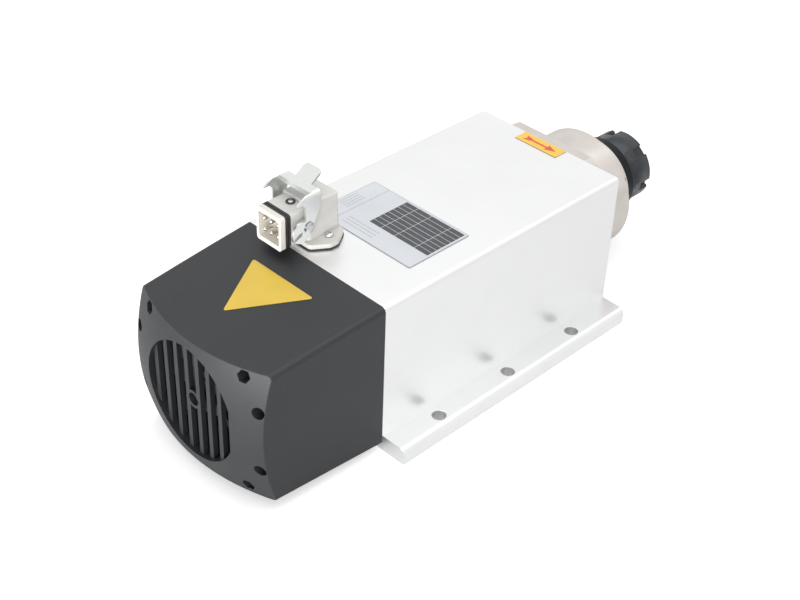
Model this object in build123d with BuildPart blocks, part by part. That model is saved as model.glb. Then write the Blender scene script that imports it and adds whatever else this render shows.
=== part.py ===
from build123d import *
import math
import os

# Air-cooled square motor spindle with a collet nose. +Y runs along the spindle axis to the nose,
# +Z is up, and the origin is the centre of the foot bolt pattern on the base plane.

os.makedirs("parts", exist_ok=True)

# Body extrusion and its feet
axis_height = 54.0
stator_bore = 92.0
body_side_wall = 14.0
body_top_wall = 5.0
body_edge_radius = 3.0
foot_reach = 18.5
foot_thickness = 11.0
foot_edge_radius = 3.5
foot_root_radius = 2.0
foot_hole_diameter = 9.0
foot_hole_inset = 8.5
foot_hole_pitch = 62.0
rear_margin = 38.0
front_margin = 45.0
bore_wall = 5.5
outer_wall = 4.0
floor_wall = 8.0
duct_corner_radius = 3.0
duct_web = 6.0
corner_boss = 13.0
corner_screw_angle = 43.45
corner_screw_wall = 3.85
corner_screw = 5.0
corner_screw_depth = 22.0
cable_hole = 16.0

# Screw proportions, as shares of the thread diameter, and of the head height for the pan edge
head_share = 0.75
socket_share = 0.42
socket_depth_share = 0.55
pan_head_share = 0.9
pan_height_share = 0.55
pan_edge_share = 0.4
cross_share = 0.2

# Bearing proportions, as shares of the ring section and of the width
ball_share = 0.4
race_depth = 0.35
race_share = 0.44
cage_share = 0.6

# Fits
seat_clearance = 0.03
running_clearance = 0.06
thread_clearance = 0.05
free_clearance = 0.4
hole_clearance = 0.3

# Fan cover
cover_length = 98.6
dome_radius = 148.0
cover_wall = 3.0
cover_foot_gap = 3.5
cover_rear_width = 112.6
cover_top_drop = 8.2
cover_top_bow = 0.4
cover_floor_rise = 4.3
cover_edge_radius = 3.2
cover_rear_edge_radius = 1.0
cover_screw_inset = 7.2
cover_screw_z = 20.8
cover_screw = 4.0
cover_screw_length = 16.0
cover_screw_floor = 4.0
cover_tube_bore = 7.4
cover_tube_wall = 1.9
nut_pocket_x = 41.5
nut_pocket_z = 39.5
nut_pocket_flats = 7.0
nut_pocket_setback = 11.0
nut_pocket_depth = 12.0
nut_pocket_wall = 2.6
grille_margin = 4.8
grille_setback = 7.6
grille_thickness = 3.5
grille_pitch = 9.5
grille_bar = 3.3
grille_slots = 9
grille_ring_diameter = 12.0
grille_eye_diameter = 8.4

# Rear end shield and bearing
shield_rim = 0.5
shield_thickness = 8.0
shield_spigot = 8.0
shield_spigot_wall = 5.0
shield_hub_diameter = 56.0
shield_hub_depth = 12.0
shield_lip = 3.0
shield_lip_width = 4.0
shield_screw_length = 18.0
shield_lobe = 14.0
shield_vent_diameter = 9.0
shield_vent_circle = 70.0
shield_vents = 8
rear_bearing_bore = 17.0
rear_bearing_diameter = 40.0
rear_bearing_width = 12.0
rear_bearing_overlap = 6.0
spring_gap = 2.5
spring_width = 2.4
rear_nut_diameter = 27.0
rear_nut_width = 6.0

# Front bearing housing
front_flange_margin = 7.35
front_flange_inset = 6.0
front_flange_thickness = 7.0
barrel_diameter = 85.4
barrel_length = 41.7
barrel_root_radius = 3.0
front_spigot = 12.0
front_spigot_wall = 5.0
front_bearing_bore = 30.0
front_bearing_diameter = 62.0
front_bearing_width = 16.0
front_bearing_spacer = 4.0
front_shoulder_bore = 52.0
front_screw = 6.0
front_screw_length = 20.0
cap_flange_thickness = 5.0
cap_rim = 2.2
cap_ledge = 7.5
cap_shoulder = 2.0
cap_boss_length = 13.3
cap_chamfer = 1.5
cap_screw = 4.0
cap_screw_length = 14.0
cap_screw_count = 6
cap_screw_start = 30.0
front_nut_diameter = 44.0
front_nut_width = 10.0
nut_notches = 4
nut_notch_width = 5.0
nut_notch_depth = 2.0
slinger_diameter = 56.0
slinger_length = 9.8
slinger_lip_length = 3.5
slinger_lip_inner = 48.0
slinger_lip_outer = 53.0
slinger_gap = 0.6

# Shaft, rotor and stator
nose_diameter = 38.0
rotor_seat = 29.0
rear_shoulder = 23.0
fan_seat = 14.0
rotor_diameter = 53.6
rotor_length = 110.0
rotor_rear = -50.0
rotor_ring_length = 8.0
rotor_ring_bore = 34.0
rotor_ring_step = 1.0
rotor_shoulder = 4.0
air_gap = 0.5
slots = 24
slot_width = 3.6
slot_depth = 9.5
slot_tip = 1.7
slot_mouth = 1.6
coil_clearance = 0.2
coil_overhang = 26.0
coil_outer = 85.0
coil_corner = 4.0

# Collet nose
nut_diameter = 50.0
nut_length = 22.5
nut_chamfer = 1.5
nut_reach = 89.7
nut_thread = 40.0
nut_thread_relief = 1.5
nut_slots = 6
nut_slot_width = 7.0
nut_slot_length = 11.0
nut_slot_depth = 3.2
collet_diameter = 33.0
collet_length = 40.0
collet_taper = 8.0
collet_face_setback = 0.7
collet_cone_length = 3.5
collet_cone = 30.0
collet_cone_diameter = 32.0
collet_land = 0.5
collet_groove_length = 2.7
collet_groove_diameter = 29.2
collet_bore = 12.0
collet_slits = 8
collet_slit_width = 1.0
collet_slit_web = 6.0
nose_setback = 8.2
nose_relief_gap = 1.0
nose_relief_bore = 22.0
nose_relief_length = 12.0

# Fan
fan_tip_gap = 0.8
fan_hub_diameter = 30.0
fan_hub_length = 26.0
fan_gap = 5.5
fan_blades = 9
fan_blade_chord = 22.0
fan_blade_sweep = 15.0
fan_blade_camber = 3.0
fan_blade_thickness = 2.0
fan_blade_root = 2.0
fan_hub_seat = 1.0
fan_screw = 6.0
fan_screw_length = 16.0
fan_washer_diameter = 20.0
fan_washer_thickness = 1.5
fan_screw_head_height = 2.5
fan_thread_reserve = 2.0

# Connector
connector_x = -26.2
tower_setback = 8.1
tower_length = 25.1
tower_width = 25.2
tower_top = 28.5
tower_edge_radius = 2.6
tower_top_radius = 1.2
tower_draft = 2.0
gasket_thickness = 1.0
gasket_border = 0.5
flange_height = 4.0
flange_setback = 19.5
flange_length = 27.2
flange_tip = 45.4
flange_shoulder = 31.6
flange_end = 6.0
flange_corner_radius = 4.0
flange_screw_spacing = 31.2
flange_screw_setback = 21.6
flange_screw = 3.0
flange_screw_length = 9.0
hood_width = 22.0
hood_bottom = 4.5
hood_top = 26.9
hood_overhang = 4.0
hood_edge_radius = 2.0
hood_mouth_radius = 1.2
hood_wall = 1.2
seal_length = 4.0
seal_groove_width = 0.8
seal_groove_depth = 0.5
insert_rim_length = 3.5
insert_rim_width = 21.6
insert_rim_height = 22.6
insert_corner_radius = 2.0
insert_side_wall = 0.7
insert_top_wall = 1.3
insert_recess_depth = 13.0
insert_length = 22.0
insert_end_gap = 1.0
pin_diameter = 2.8
pin_pitch_x = 6.0
pin_pitch_z = 8.0
pin_setback = 1.0
pin_foot = 5.0
set_screw_setback = 5.4
set_screw = 3.0
set_screw_length = 2.6
set_screw_head = 3.4
set_screw_head_height = 1.2
o_ring_width = 1.3
o_ring_height = 0.9

# Locking lever
lever_pivot_setback = 6.4
lever_pivot_rise = 16.3
lever_sheet = 1.5
lever_bend = 3.0
lever_inner_width = 27.4
lever_pin = 5.0
lever_eye = 8.6
lever_boss_wall = 1.5
lever_lobe_offset = 5.6
lever_lobe_drop = 1.6
lever_lobe_radius = 7.0
lever_notch_reach = 8.2
lever_notch_drop = 3.4
lever_notch_length = 7.0
lever_notch_width = 2.6
lever_notch_angle = 25.0
lever_arm_front = 2.6
lever_arm_foot = 3.6
lever_throat_rise = 12.6
lever_horn_reach = 8.8
lever_horn_rise = 16.3
lever_horn_tip = 0.8
lever_rise = 21.6
lever_bridge_rear = 2.2
lever_bridge_front = 9.2
lever_lip_drop = 3.4
lever_belly_reach = 9.5
lever_belly_rise = 17.6
lever_waist_reach = 8.6
lever_waist_rise = 11.0
lever_tab_width = 13.6
lever_tab_length = 11.2
lever_tab_angle = 35.0
lever_tab_radius = 3.0
lever_pin_head = 7.0
lever_pin_head_height = 0.8

# Plates
plate_thickness = 0.3
nameplate_width = 82.0
nameplate_length = 50.5
nameplate_y = -37.75
arrow_label_width = 35.0
arrow_label_length = 11.0
arrow_label_x = -1.65
arrow_label_margin = 0.5
sticker_side = 52.6
sticker_corner_radius = 1.2
sticker_base_margin = 22.1
sticker_x = -1.6

# Sizes that follow from those above, and stations along the spindle axis
body_width = stator_bore + 2 * body_side_wall
body_height = axis_height + stator_bore / 2 + body_top_wall
foot_width = body_width + 2 * foot_reach
foot_hole_spacing = foot_width - 2 * foot_hole_inset
corner_screw_reach = (stator_bore + corner_screw) / 2 + corner_screw_wall
corner_screw_x = corner_screw_reach * math.cos(math.radians(corner_screw_angle))
corner_screw_z = corner_screw_reach * math.sin(math.radians(corner_screw_angle))
cover_screw_x = body_width / 2 - cover_screw_inset
dome_top = axis_height + stator_bore / 2 + body_top_wall - cover_top_drop
grille_diameter = 2 * (dome_top - axis_height - grille_margin)
fan_diameter = 2 * (dome_top - axis_height - cover_wall - fan_tip_gap)
shield_diameter = stator_bore + 2 * shield_rim
front_flange_diameter = 2 * (corner_screw_reach + front_flange_margin)
front_flange_width = body_width - 2 * front_flange_inset
cap_boss_diameter = barrel_diameter - 2 * cap_rim - 2 * cap_ledge
cap_screw_circle = cap_boss_diameter + cap_ledge
body_rear = -(foot_hole_pitch + rear_margin)
body_front = foot_hole_pitch + front_margin
body_length = body_front - body_rear
body_top = body_height
flange_y = body_rear + flange_setback
flange_screw_y = body_rear + flange_screw_setback
tower_middle = body_rear + tower_setback + tower_length / 2
hood_front = body_rear - hood_overhang
set_screw_y = body_rear + set_screw_setback
lever_pivot_y = body_rear + lever_pivot_setback
cover_rear = body_rear - cover_length
grille_face = cover_rear + grille_setback
grille_inner = grille_face + grille_thickness
fan_rear = grille_inner + fan_gap
fan_front = fan_rear + fan_hub_length
shield_rear = body_rear - shield_thickness
rear_bearing_front = body_rear + rear_bearing_overlap
rear_bearing_rear = rear_bearing_front - rear_bearing_width
barrel_front = body_front + barrel_length
cap_seat = barrel_front - cap_flange_thickness
bearing_pair_front = cap_seat
bearing_pair_rear = bearing_pair_front - 2 * front_bearing_width - front_bearing_spacer
cap_front = barrel_front + cap_boss_length
slinger_rear = cap_front + slinger_gap
slinger_front = slinger_rear + slinger_length
nut_front = body_front + nut_reach
nut_rear = nut_front - nut_length
collet_front = nut_front - collet_face_setback
nose_front = collet_front - nose_setback
rotor_front = rotor_rear + rotor_length

spindle_axis = Axis((0, 0, axis_height), (0, 1, 0))
axial = Plane(origin=(0, 0, axis_height), x_dir=(0, 1, 0), z_dir=(1, 0, 0))


def facing_front(station):
    """Plane across the spindle axis, facing the nose, upright."""
    return Plane(origin=(0, station, axis_height), x_dir=(-1, 0, 0), z_dir=(0, 1, 0))


def facing_rear(station):
    """Plane across the spindle axis, facing the fan, upright."""
    return Plane(origin=(0, station, axis_height), x_dir=(1, 0, 0), z_dir=(0, -1, 0))


def turn(*points, mode=Mode.ADD):
    """Revolves a closed outline of (station, radius) points about the spindle axis."""
    with BuildSketch(axial) as outline:
        with BuildLine():
            Polyline(*points, close=True)
        make_face()
    revolve(outline.sketch, axis=spindle_axis, mode=mode)


def sleeve(rear, front, inner, outer, mode=Mode.ADD):
    """A turned sleeve between two stations, given its inner and outer radius."""
    turn((rear, inner), (front, inner), (front, outer), (rear, outer), mode=mode)


def save(builder, name):
    """Labels a finished piece and writes it."""
    builder.part.label = name
    export_step(builder.part, f"parts/{name}.step")


def socket_screw(diameter, length):
    """A socket-head cap screw pointing down from the seat under its head."""
    with BuildPart() as screw:
        Cylinder(diameter / 2, length, align=(Align.CENTER, Align.CENTER, Align.MAX))
        Cylinder(head_share * diameter, diameter, align=(Align.CENTER, Align.CENTER, Align.MIN))
        with BuildSketch(Plane.XY.offset(diameter)):
            RegularPolygon(socket_share * diameter, 6, major_radius=False)
        extrude(amount=-socket_depth_share * diameter, mode=Mode.SUBTRACT)
    return screw.part


def pan_screw(diameter, length):
    """A cross-recess pan-head screw pointing down from the seat under its head."""
    head_radius = diameter * pan_head_share
    head_height = diameter * pan_height_share
    with BuildPart() as screw:
        Cylinder(diameter / 2, length, align=(Align.CENTER, Align.CENTER, Align.MAX))
        Cylinder(head_radius, head_height, align=(Align.CENTER, Align.CENTER, Align.MIN))
        chamfer(screw.edges().group_by(Axis.Z)[-1], head_height * pan_edge_share)
        with BuildSketch(Plane.XY.offset(head_height)):
            Rectangle(head_radius, diameter * cross_share)
            Rectangle(diameter * cross_share, head_radius)
        extrude(amount=-head_height / 2, mode=Mode.SUBTRACT)
    return screw.part


# ------------------------------------------------------------------ body
duct_height = body_height - outer_wall - floor_wall
duct_rise = (body_height - outer_wall + floor_wall) / 2 - axis_height

with BuildPart() as motor_housing:
    with BuildSketch(facing_front(body_rear)) as body_section:
        with Locations((0, body_height / 2 - axis_height)):
            Rectangle(body_width, body_height)
        fillet(body_section.vertices().group_by(Axis.Y)[-1], body_edge_radius)
        with Locations((0, foot_thickness / 2 - axis_height)):
            foot = Rectangle(foot_width, foot_thickness)
        foot_corners = body_section.vertices().group_by(Axis.Y)[1].sort_by(Axis.X)
        fillet([foot_corners[0], foot_corners[-1]], foot_edge_radius)
        fillet(foot_corners[1:-1], foot_root_radius)
    extrude(amount=body_length)
    with BuildSketch(facing_front(body_rear)):
        Circle(stator_bore / 2)
    extrude(amount=body_length, mode=Mode.SUBTRACT)
    with BuildSketch(facing_front(body_rear)):
        with Locations((0, duct_rise)):
            RectangleRounded(body_width - 2 * outer_wall, duct_height, duct_corner_radius)
        Circle(stator_bore / 2 + bore_wall, mode=Mode.SUBTRACT)
        Rectangle(body_width, duct_web, mode=Mode.SUBTRACT)
        with GridLocations(2 * corner_screw_x, 2 * corner_screw_z, 2, 2):
            Circle(corner_boss / 2, mode=Mode.SUBTRACT)
        with GridLocations(2 * cover_screw_x, 2 * cover_screw_z, 2, 2):
            Rectangle(corner_boss, 2 * cover_screw, mode=Mode.SUBTRACT)
    extrude(amount=body_length, mode=Mode.SUBTRACT)
    with BuildSketch(Plane.XY):
        with GridLocations(foot_hole_spacing, foot_hole_pitch, 2, 3):
            Circle(foot_hole_diameter / 2)
    extrude(amount=foot_thickness, mode=Mode.SUBTRACT)
    with BuildSketch(facing_front(body_rear)):
        with GridLocations(2 * corner_screw_x, 2 * corner_screw_z, 2, 2):
            Circle(corner_screw / 2 + thread_clearance)
        with GridLocations(2 * cover_screw_x, 2 * cover_screw_z, 2, 2):
            Circle(cover_screw / 2 + thread_clearance)
    extrude(amount=corner_screw_depth, mode=Mode.SUBTRACT)
    with BuildSketch(facing_rear(body_front)):
        with GridLocations(2 * corner_screw_x, 2 * corner_screw_z, 2, 2):
            Circle(front_screw / 2 + thread_clearance)
    extrude(amount=front_screw_length, mode=Mode.SUBTRACT)
    with BuildSketch(Plane.XY.offset(body_top)):
        with Locations((connector_x, flange_y)):
            Circle(cable_hole / 2)
    extrude(amount=-(body_top - axis_height), mode=Mode.SUBTRACT)
    with BuildSketch(Plane.XY.offset(body_top)):
        with Locations((connector_x, flange_screw_y)):
            with GridLocations(flange_screw_spacing, 0, 2, 1):
                Circle(flange_screw / 2 + thread_clearance)
    extrude(amount=-flange_screw_length, mode=Mode.SUBTRACT)
save(motor_housing, "motor_housing")

# ------------------------------------------------------------------ stator and rotor
core_radius = stator_bore / 2 - seat_clearance
bore_radius = rotor_diameter / 2 + air_gap
slot_inner = bore_radius + slot_tip

with BuildPart() as stator_core:
    with BuildSketch(facing_front(rotor_rear)):
        Circle(core_radius)
        Circle(bore_radius, mode=Mode.SUBTRACT)
        with PolarLocations(slot_inner + slot_depth / 2, slots):
            Rectangle(slot_depth, slot_width, mode=Mode.SUBTRACT)
        with PolarLocations(bore_radius, slots):
            Rectangle(2 * slot_tip + slot_depth / 2, slot_mouth, mode=Mode.SUBTRACT)
    extrude(amount=rotor_length)
save(stator_core, "stator_core")

coil_inner = slot_inner + coil_clearance
coil_rear = rotor_rear - coil_overhang
coil_front = rotor_front + coil_overhang
with BuildPart() as stator_windings:
    ends = (
        (rotor_rear - coil_clearance, coil_rear),
        (rotor_front + coil_clearance, coil_front),
    )
    for near, far in ends:
        bend = math.copysign(coil_corner, far - near)
        turn(
            (near, coil_inner),
            (far - bend, coil_inner),
            (far, coil_inner + coil_corner),
            (far, coil_outer / 2 - coil_corner),
            (far - bend, coil_outer / 2),
            (near + bend, coil_outer / 2),
            (near, slot_inner + slot_depth - coil_clearance),
        )
    with BuildSketch(facing_front(rotor_rear - coil_corner)):
        with PolarLocations(slot_inner + slot_depth / 2, slots):
            Rectangle(slot_depth - 2 * coil_clearance, slot_width - 2 * coil_clearance)
    extrude(amount=rotor_length + 2 * coil_corner)
save(stator_windings, "stator_windings")

with BuildPart() as rotor_core:
    sleeve(rotor_rear, rotor_front, rotor_seat / 2 + seat_clearance, rotor_diameter / 2)
save(rotor_core, "rotor_core")

with BuildPart() as rotor_end_rings:
    ring_outer = rotor_diameter / 2 - rotor_ring_step
    sleeve(rotor_rear - rotor_ring_length, rotor_rear, rotor_ring_bore / 2, ring_outer)
    sleeve(rotor_front, rotor_front + rotor_ring_length, rotor_ring_bore / 2, ring_outer)
save(rotor_end_rings, "rotor_end_rings")

# ------------------------------------------------------------------ shaft
fan_end = fan_rear + fan_hub_seat
shaft_thread_rear = bearing_pair_rear - front_nut_width
taper_angle = math.radians(collet_taper)
collet_rear = collet_front - collet_length
land_rear = collet_front - collet_cone_length - collet_land - collet_groove_length


def collet_radius(station):
    """Radius of the collet's long taper at a station along the axis."""
    return collet_diameter / 2 - (land_rear - station) * math.tan(taper_angle)


relief_front = collet_rear - nose_relief_gap
relief_rear = relief_front - nose_relief_length
with BuildPart() as spindle_shaft:
    turn(
        (fan_end, 0),
        (fan_end, fan_seat / 2),
        (rear_bearing_rear - rear_nut_width, fan_seat / 2),
        (rear_bearing_rear - rear_nut_width, rear_bearing_bore / 2),
        (rear_bearing_front, rear_bearing_bore / 2),
        (rear_bearing_front, rear_shoulder / 2),
        (rotor_rear - rotor_ring_length - rotor_shoulder, rear_shoulder / 2),
        (rotor_rear - rotor_ring_length - rotor_shoulder, rotor_seat / 2),
        (shaft_thread_rear, rotor_seat / 2),
        (shaft_thread_rear, front_bearing_bore / 2),
        (bearing_pair_front, front_bearing_bore / 2),
        (bearing_pair_front, nose_diameter / 2),
        (nut_rear, nose_diameter / 2),
        (nut_rear, nut_thread / 2),
        (nose_front, nut_thread / 2),
        (nose_front, 0),
    )
    turn(
        (relief_rear, 0),
        (relief_rear, nose_relief_bore / 2),
        (relief_front, nose_relief_bore / 2),
        (relief_front, collet_radius(relief_front) + running_clearance),
        (nose_front, collet_radius(nose_front) + running_clearance),
        (nose_front, 0),
        mode=Mode.SUBTRACT,
    )
    with BuildSketch(facing_rear(fan_end)):
        Circle(fan_screw / 2 + thread_clearance)
    extrude(amount=-(fan_screw_length + fan_thread_reserve), mode=Mode.SUBTRACT)
save(spindle_shaft, "spindle_shaft")


# ------------------------------------------------------------------ bearings
def race_step(inner, outer):
    """Radii where the inner ring ends and the outer ring begins."""
    middle = (inner + outer) / 2
    gap = (outer - inner) * ball_share / 2
    return middle - gap, middle + gap


def bearing_ring(rear, width, rim, race):
    """A bearing ring from its plain rim to its grooved race."""
    groove = race + (rim - race) * race_depth
    half_race = width * race_share / 2
    middle = rear + width / 2
    turn(
        (rear, rim),
        (rear, race),
        (middle - half_race, race),
        (middle, groove),
        (middle + half_race, race),
        (rear + width, race),
        (rear + width, rim),
    )


def ball_row(rear, width, inner, outer):
    """The ring that balls and cage fill, clear of both raceways."""
    low, high = race_step(inner, outer)
    low_groove = low + (inner - low) * race_depth + free_clearance
    high_groove = high + (outer - high) * race_depth - free_clearance
    half_race = width * race_share / 2
    half_cage = width * cage_share / 2
    middle = rear + width / 2
    turn(
        (middle - half_cage, low + free_clearance),
        (middle - half_race, low + free_clearance),
        (middle, low_groove),
        (middle + half_race, low + free_clearance),
        (middle + half_cage, low + free_clearance),
        (middle + half_cage, high - free_clearance),
        (middle + half_race, high - free_clearance),
        (middle, high_groove),
        (middle - half_race, high - free_clearance),
        (middle - half_cage, high - free_clearance),
    )


front_inner = front_bearing_bore / 2 + seat_clearance
front_outer = front_bearing_diameter / 2
rear_inner = rear_bearing_bore / 2 + seat_clearance
rear_outer = rear_bearing_diameter / 2
pair_stations = (bearing_pair_rear, bearing_pair_front - front_bearing_width)
spacer_rear = bearing_pair_rear + front_bearing_width
spacer_front = spacer_rear + front_bearing_spacer
front_low, front_high = race_step(front_inner, front_outer)
rear_low, rear_high = race_step(rear_inner, rear_outer)

with BuildPart() as front_bearing_outer_rings:
    for station in pair_stations:
        bearing_ring(station, front_bearing_width, front_outer, front_high)
save(front_bearing_outer_rings, "front_bearing_outer_rings")

with BuildPart() as front_bearing_inner_rings:
    for station in pair_stations:
        bearing_ring(station, front_bearing_width, front_inner, front_low)
save(front_bearing_inner_rings, "front_bearing_inner_rings")

with BuildPart() as front_bearing_ball_rows:
    for station in pair_stations:
        ball_row(station, front_bearing_width, front_inner, front_outer)
save(front_bearing_ball_rows, "front_bearing_ball_rows")

with BuildPart() as outer_spacer:
    sleeve(spacer_rear, spacer_front, front_high, front_outer)
save(outer_spacer, "outer_spacer")

with BuildPart() as inner_spacer:
    sleeve(spacer_rear, spacer_front, front_inner, front_low)
save(inner_spacer, "inner_spacer")

with BuildPart() as rear_bearing_outer_ring:
    bearing_ring(rear_bearing_rear, rear_bearing_width, rear_outer, rear_high)
save(rear_bearing_outer_ring, "rear_bearing_outer_ring")

with BuildPart() as rear_bearing_inner_ring:
    bearing_ring(rear_bearing_rear, rear_bearing_width, rear_inner, rear_low)
save(rear_bearing_inner_ring, "rear_bearing_inner_ring")

with BuildPart() as rear_bearing_ball_row:
    ball_row(rear_bearing_rear, rear_bearing_width, rear_inner, rear_outer)
save(rear_bearing_ball_row, "rear_bearing_ball_row")


def lock_nut(rear, width, bore, diameter):
    """A slotted lock nut between two stations."""
    sleeve(rear, rear + width, bore / 2 + seat_clearance, diameter / 2)
    with BuildSketch(facing_front(rear)) as notches:
        with PolarLocations(diameter / 2, nut_notches):
            Rectangle(2 * nut_notch_depth, nut_notch_width)
    extrude(notches.sketch, amount=width, mode=Mode.SUBTRACT)


with BuildPart() as front_lock_nut:
    lock_nut(shaft_thread_rear, front_nut_width, front_bearing_bore, front_nut_diameter)
save(front_lock_nut, "front_lock_nut")

with BuildPart() as rear_lock_nut:
    rear_nut_station = rear_bearing_rear - rear_nut_width
    lock_nut(rear_nut_station, rear_nut_width, rear_bearing_bore, rear_nut_diameter)
save(rear_lock_nut, "rear_lock_nut")

# ------------------------------------------------------------------ rear end shield
spring_seat = rear_bearing_front + spring_gap
shield_bore = rear_outer + seat_clearance
hub_front = spring_seat + shield_lip
spigot_front = body_rear + shield_spigot
spigot_radius = stator_bore / 2 - seat_clearance
shield_reach = math.hypot(corner_screw_x, corner_screw_z)
shield_turn = math.degrees(math.atan2(corner_screw_z, corner_screw_x))

with BuildPart() as rear_end_shield:
    with BuildSketch(facing_front(shield_rear)):
        Circle(shield_diameter / 2)
        SlotCenterToCenter(2 * shield_reach, shield_lobe, rotation=shield_turn)
        SlotCenterToCenter(2 * shield_reach, shield_lobe, rotation=-shield_turn)
    extrude(amount=shield_thickness)
    turn(
        (body_rear, shield_bore),
        (hub_front, shield_bore),
        (hub_front, shield_hub_diameter / 2),
        (body_rear, shield_hub_diameter / 2),
    )
    sleeve(body_rear, spigot_front, spigot_radius - shield_spigot_wall, spigot_radius)
    sleeve(shield_rear, spring_seat, 0, shield_bore, mode=Mode.SUBTRACT)
    sleeve(spring_seat, hub_front, shield_bore - shield_lip_width, shield_bore + shield_lip)
    with BuildSketch(facing_front(shield_rear)):
        with GridLocations(2 * corner_screw_x, 2 * corner_screw_z, 2, 2):
            Circle(corner_screw / 2 + hole_clearance)
        with PolarLocations(shield_vent_circle / 2, shield_vents, start_angle=90 / shield_vents):
            Circle(shield_vent_diameter / 2)
    extrude(amount=shield_thickness, mode=Mode.SUBTRACT)
save(rear_end_shield, "rear_end_shield")

with BuildPart() as wave_spring:
    spring_outer = rear_outer - free_clearance
    sleeve(rear_bearing_front, spring_seat, spring_outer - spring_width, spring_outer)
save(wave_spring, "wave_spring")

shield_screw = socket_screw(corner_screw, shield_screw_length)
with BuildPart(facing_rear(shield_rear)) as shield_screws:
    with GridLocations(2 * corner_screw_x, 2 * corner_screw_z, 2, 2):
        add(shield_screw)
save(shield_screws, "shield_screws")


# ------------------------------------------------------------------ fan cover
cover_back = body_rear - cover_length


def top_arc(lift):
    """The cover's bowed top line from the back plane to the body, lifted by an amount."""
    top = body_top + lift
    middle_station = (body_rear + cover_back) / 2
    middle_height = top - cover_top_drop / 2 + cover_top_bow
    return ThreePointArc(
        (cover_back, top - cover_top_drop), (middle_station, middle_height), (body_rear, top)
    )


def cover_form(inset):
    """The cover's outer form, or the same form drawn in by a wall on every side but the open one."""
    half_width = body_width / 2 - inset
    rear_half_width = cover_rear_width / 2 - inset
    top = body_top - inset
    floor = cover_foot_gap + inset
    with BuildPart() as form:
        with BuildSketch(Plane.YZ):
            with BuildLine():
                Line((body_rear, top), (body_rear, floor))
                Line((body_rear, floor), (cover_back, floor + cover_floor_rise))
                Line((cover_back, floor + cover_floor_rise), (cover_back, top - cover_top_drop))
                top_arc(-inset)
            make_face()
        extrude(amount=body_width, both=True)
        with BuildSketch(Plane.XY):
            with BuildLine():
                Polyline(
                    (-half_width, body_rear),
                    (half_width, body_rear),
                    (rear_half_width, cover_back),
                    (-rear_half_width, cover_back),
                    close=True,
                )
            make_face()
        extrude(amount=body_height, mode=Mode.INTERSECT)
        with Locations((0, cover_rear + dome_radius, axis_height)):
            Sphere(dome_radius - inset, mode=Mode.INTERSECT)
    return form.part


cover_skin = cover_form(0)
cover_cavity = cover_form(cover_wall)
tube_radius = cover_tube_bore / 2 + cover_tube_wall
pocket_radius = nut_pocket_flats / 2 + nut_pocket_wall
pocket_floor = cover_rear + nut_pocket_setback + nut_pocket_depth
behind_cover = cover_length

with BuildPart() as cover_core:
    add(cover_cavity)
    with BuildSketch(facing_rear(grille_inner)):
        Circle(grille_diameter / 2 + cover_wall)
    extrude(amount=behind_cover, mode=Mode.SUBTRACT)
    with BuildSketch(facing_rear(body_rear)):
        with GridLocations(2 * cover_screw_x, 2 * cover_screw_z, 2, 2):
            Circle(tube_radius)
    extrude(amount=behind_cover, mode=Mode.SUBTRACT)
    with BuildSketch(facing_rear(pocket_floor + nut_pocket_wall)):
        with GridLocations(2 * nut_pocket_x, 2 * nut_pocket_z, 2, 2):
            Circle(pocket_radius)
    extrude(amount=behind_cover, mode=Mode.SUBTRACT)

with BuildPart() as fan_cover:
    add(cover_skin)
    dome = fan_cover.faces().sort_by(Axis.Y)[0]
    mouth = fan_cover.faces().sort_by(Axis.Y)[-1]
    long_edges = fan_cover.edges() - dome.edges() - mouth.edges()
    fillet(long_edges, cover_edge_radius)
    fillet(fan_cover.faces().sort_by(Axis.Y)[0].edges(), cover_rear_edge_radius)
    add(cover_core.part, mode=Mode.SUBTRACT)
    with BuildSketch(facing_rear(grille_face)):
        Circle(grille_diameter / 2)
    extrude(amount=behind_cover, mode=Mode.SUBTRACT)
    with BuildSketch(facing_rear(grille_face)):
        with GridLocations(grille_pitch, 0, grille_slots, 1):
            Rectangle(grille_pitch - grille_bar, grille_diameter)
        Circle(grille_diameter / 2, mode=Mode.INTERSECT)
        Circle(grille_ring_diameter / 2, mode=Mode.SUBTRACT)
        Circle(grille_eye_diameter / 2)
    extrude(amount=-grille_thickness, mode=Mode.SUBTRACT)
    with BuildSketch(facing_rear(body_rear - cover_screw_floor)):
        with GridLocations(2 * cover_screw_x, 2 * cover_screw_z, 2, 2):
            Circle(cover_tube_bore / 2)
    extrude(amount=behind_cover, mode=Mode.SUBTRACT)
    with BuildSketch(facing_rear(body_rear)):
        with GridLocations(2 * cover_screw_x, 2 * cover_screw_z, 2, 2):
            Circle(cover_screw / 2 + hole_clearance)
    extrude(amount=cover_screw_floor, mode=Mode.SUBTRACT)
    with BuildSketch(facing_rear(pocket_floor)):
        with GridLocations(2 * nut_pocket_x, 2 * nut_pocket_z, 2, 2):
            RegularPolygon(nut_pocket_flats / 2, 6, major_radius=False)
    extrude(amount=behind_cover, mode=Mode.SUBTRACT)
save(fan_cover, "fan_cover")

cover_cap_screw = socket_screw(cover_screw, cover_screw_length)
with BuildPart(facing_rear(body_rear - cover_screw_floor)) as cover_screws:
    with GridLocations(2 * cover_screw_x, 2 * cover_screw_z, 2, 2):
        add(cover_cap_screw)
save(cover_screws, "cover_screws")

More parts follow.
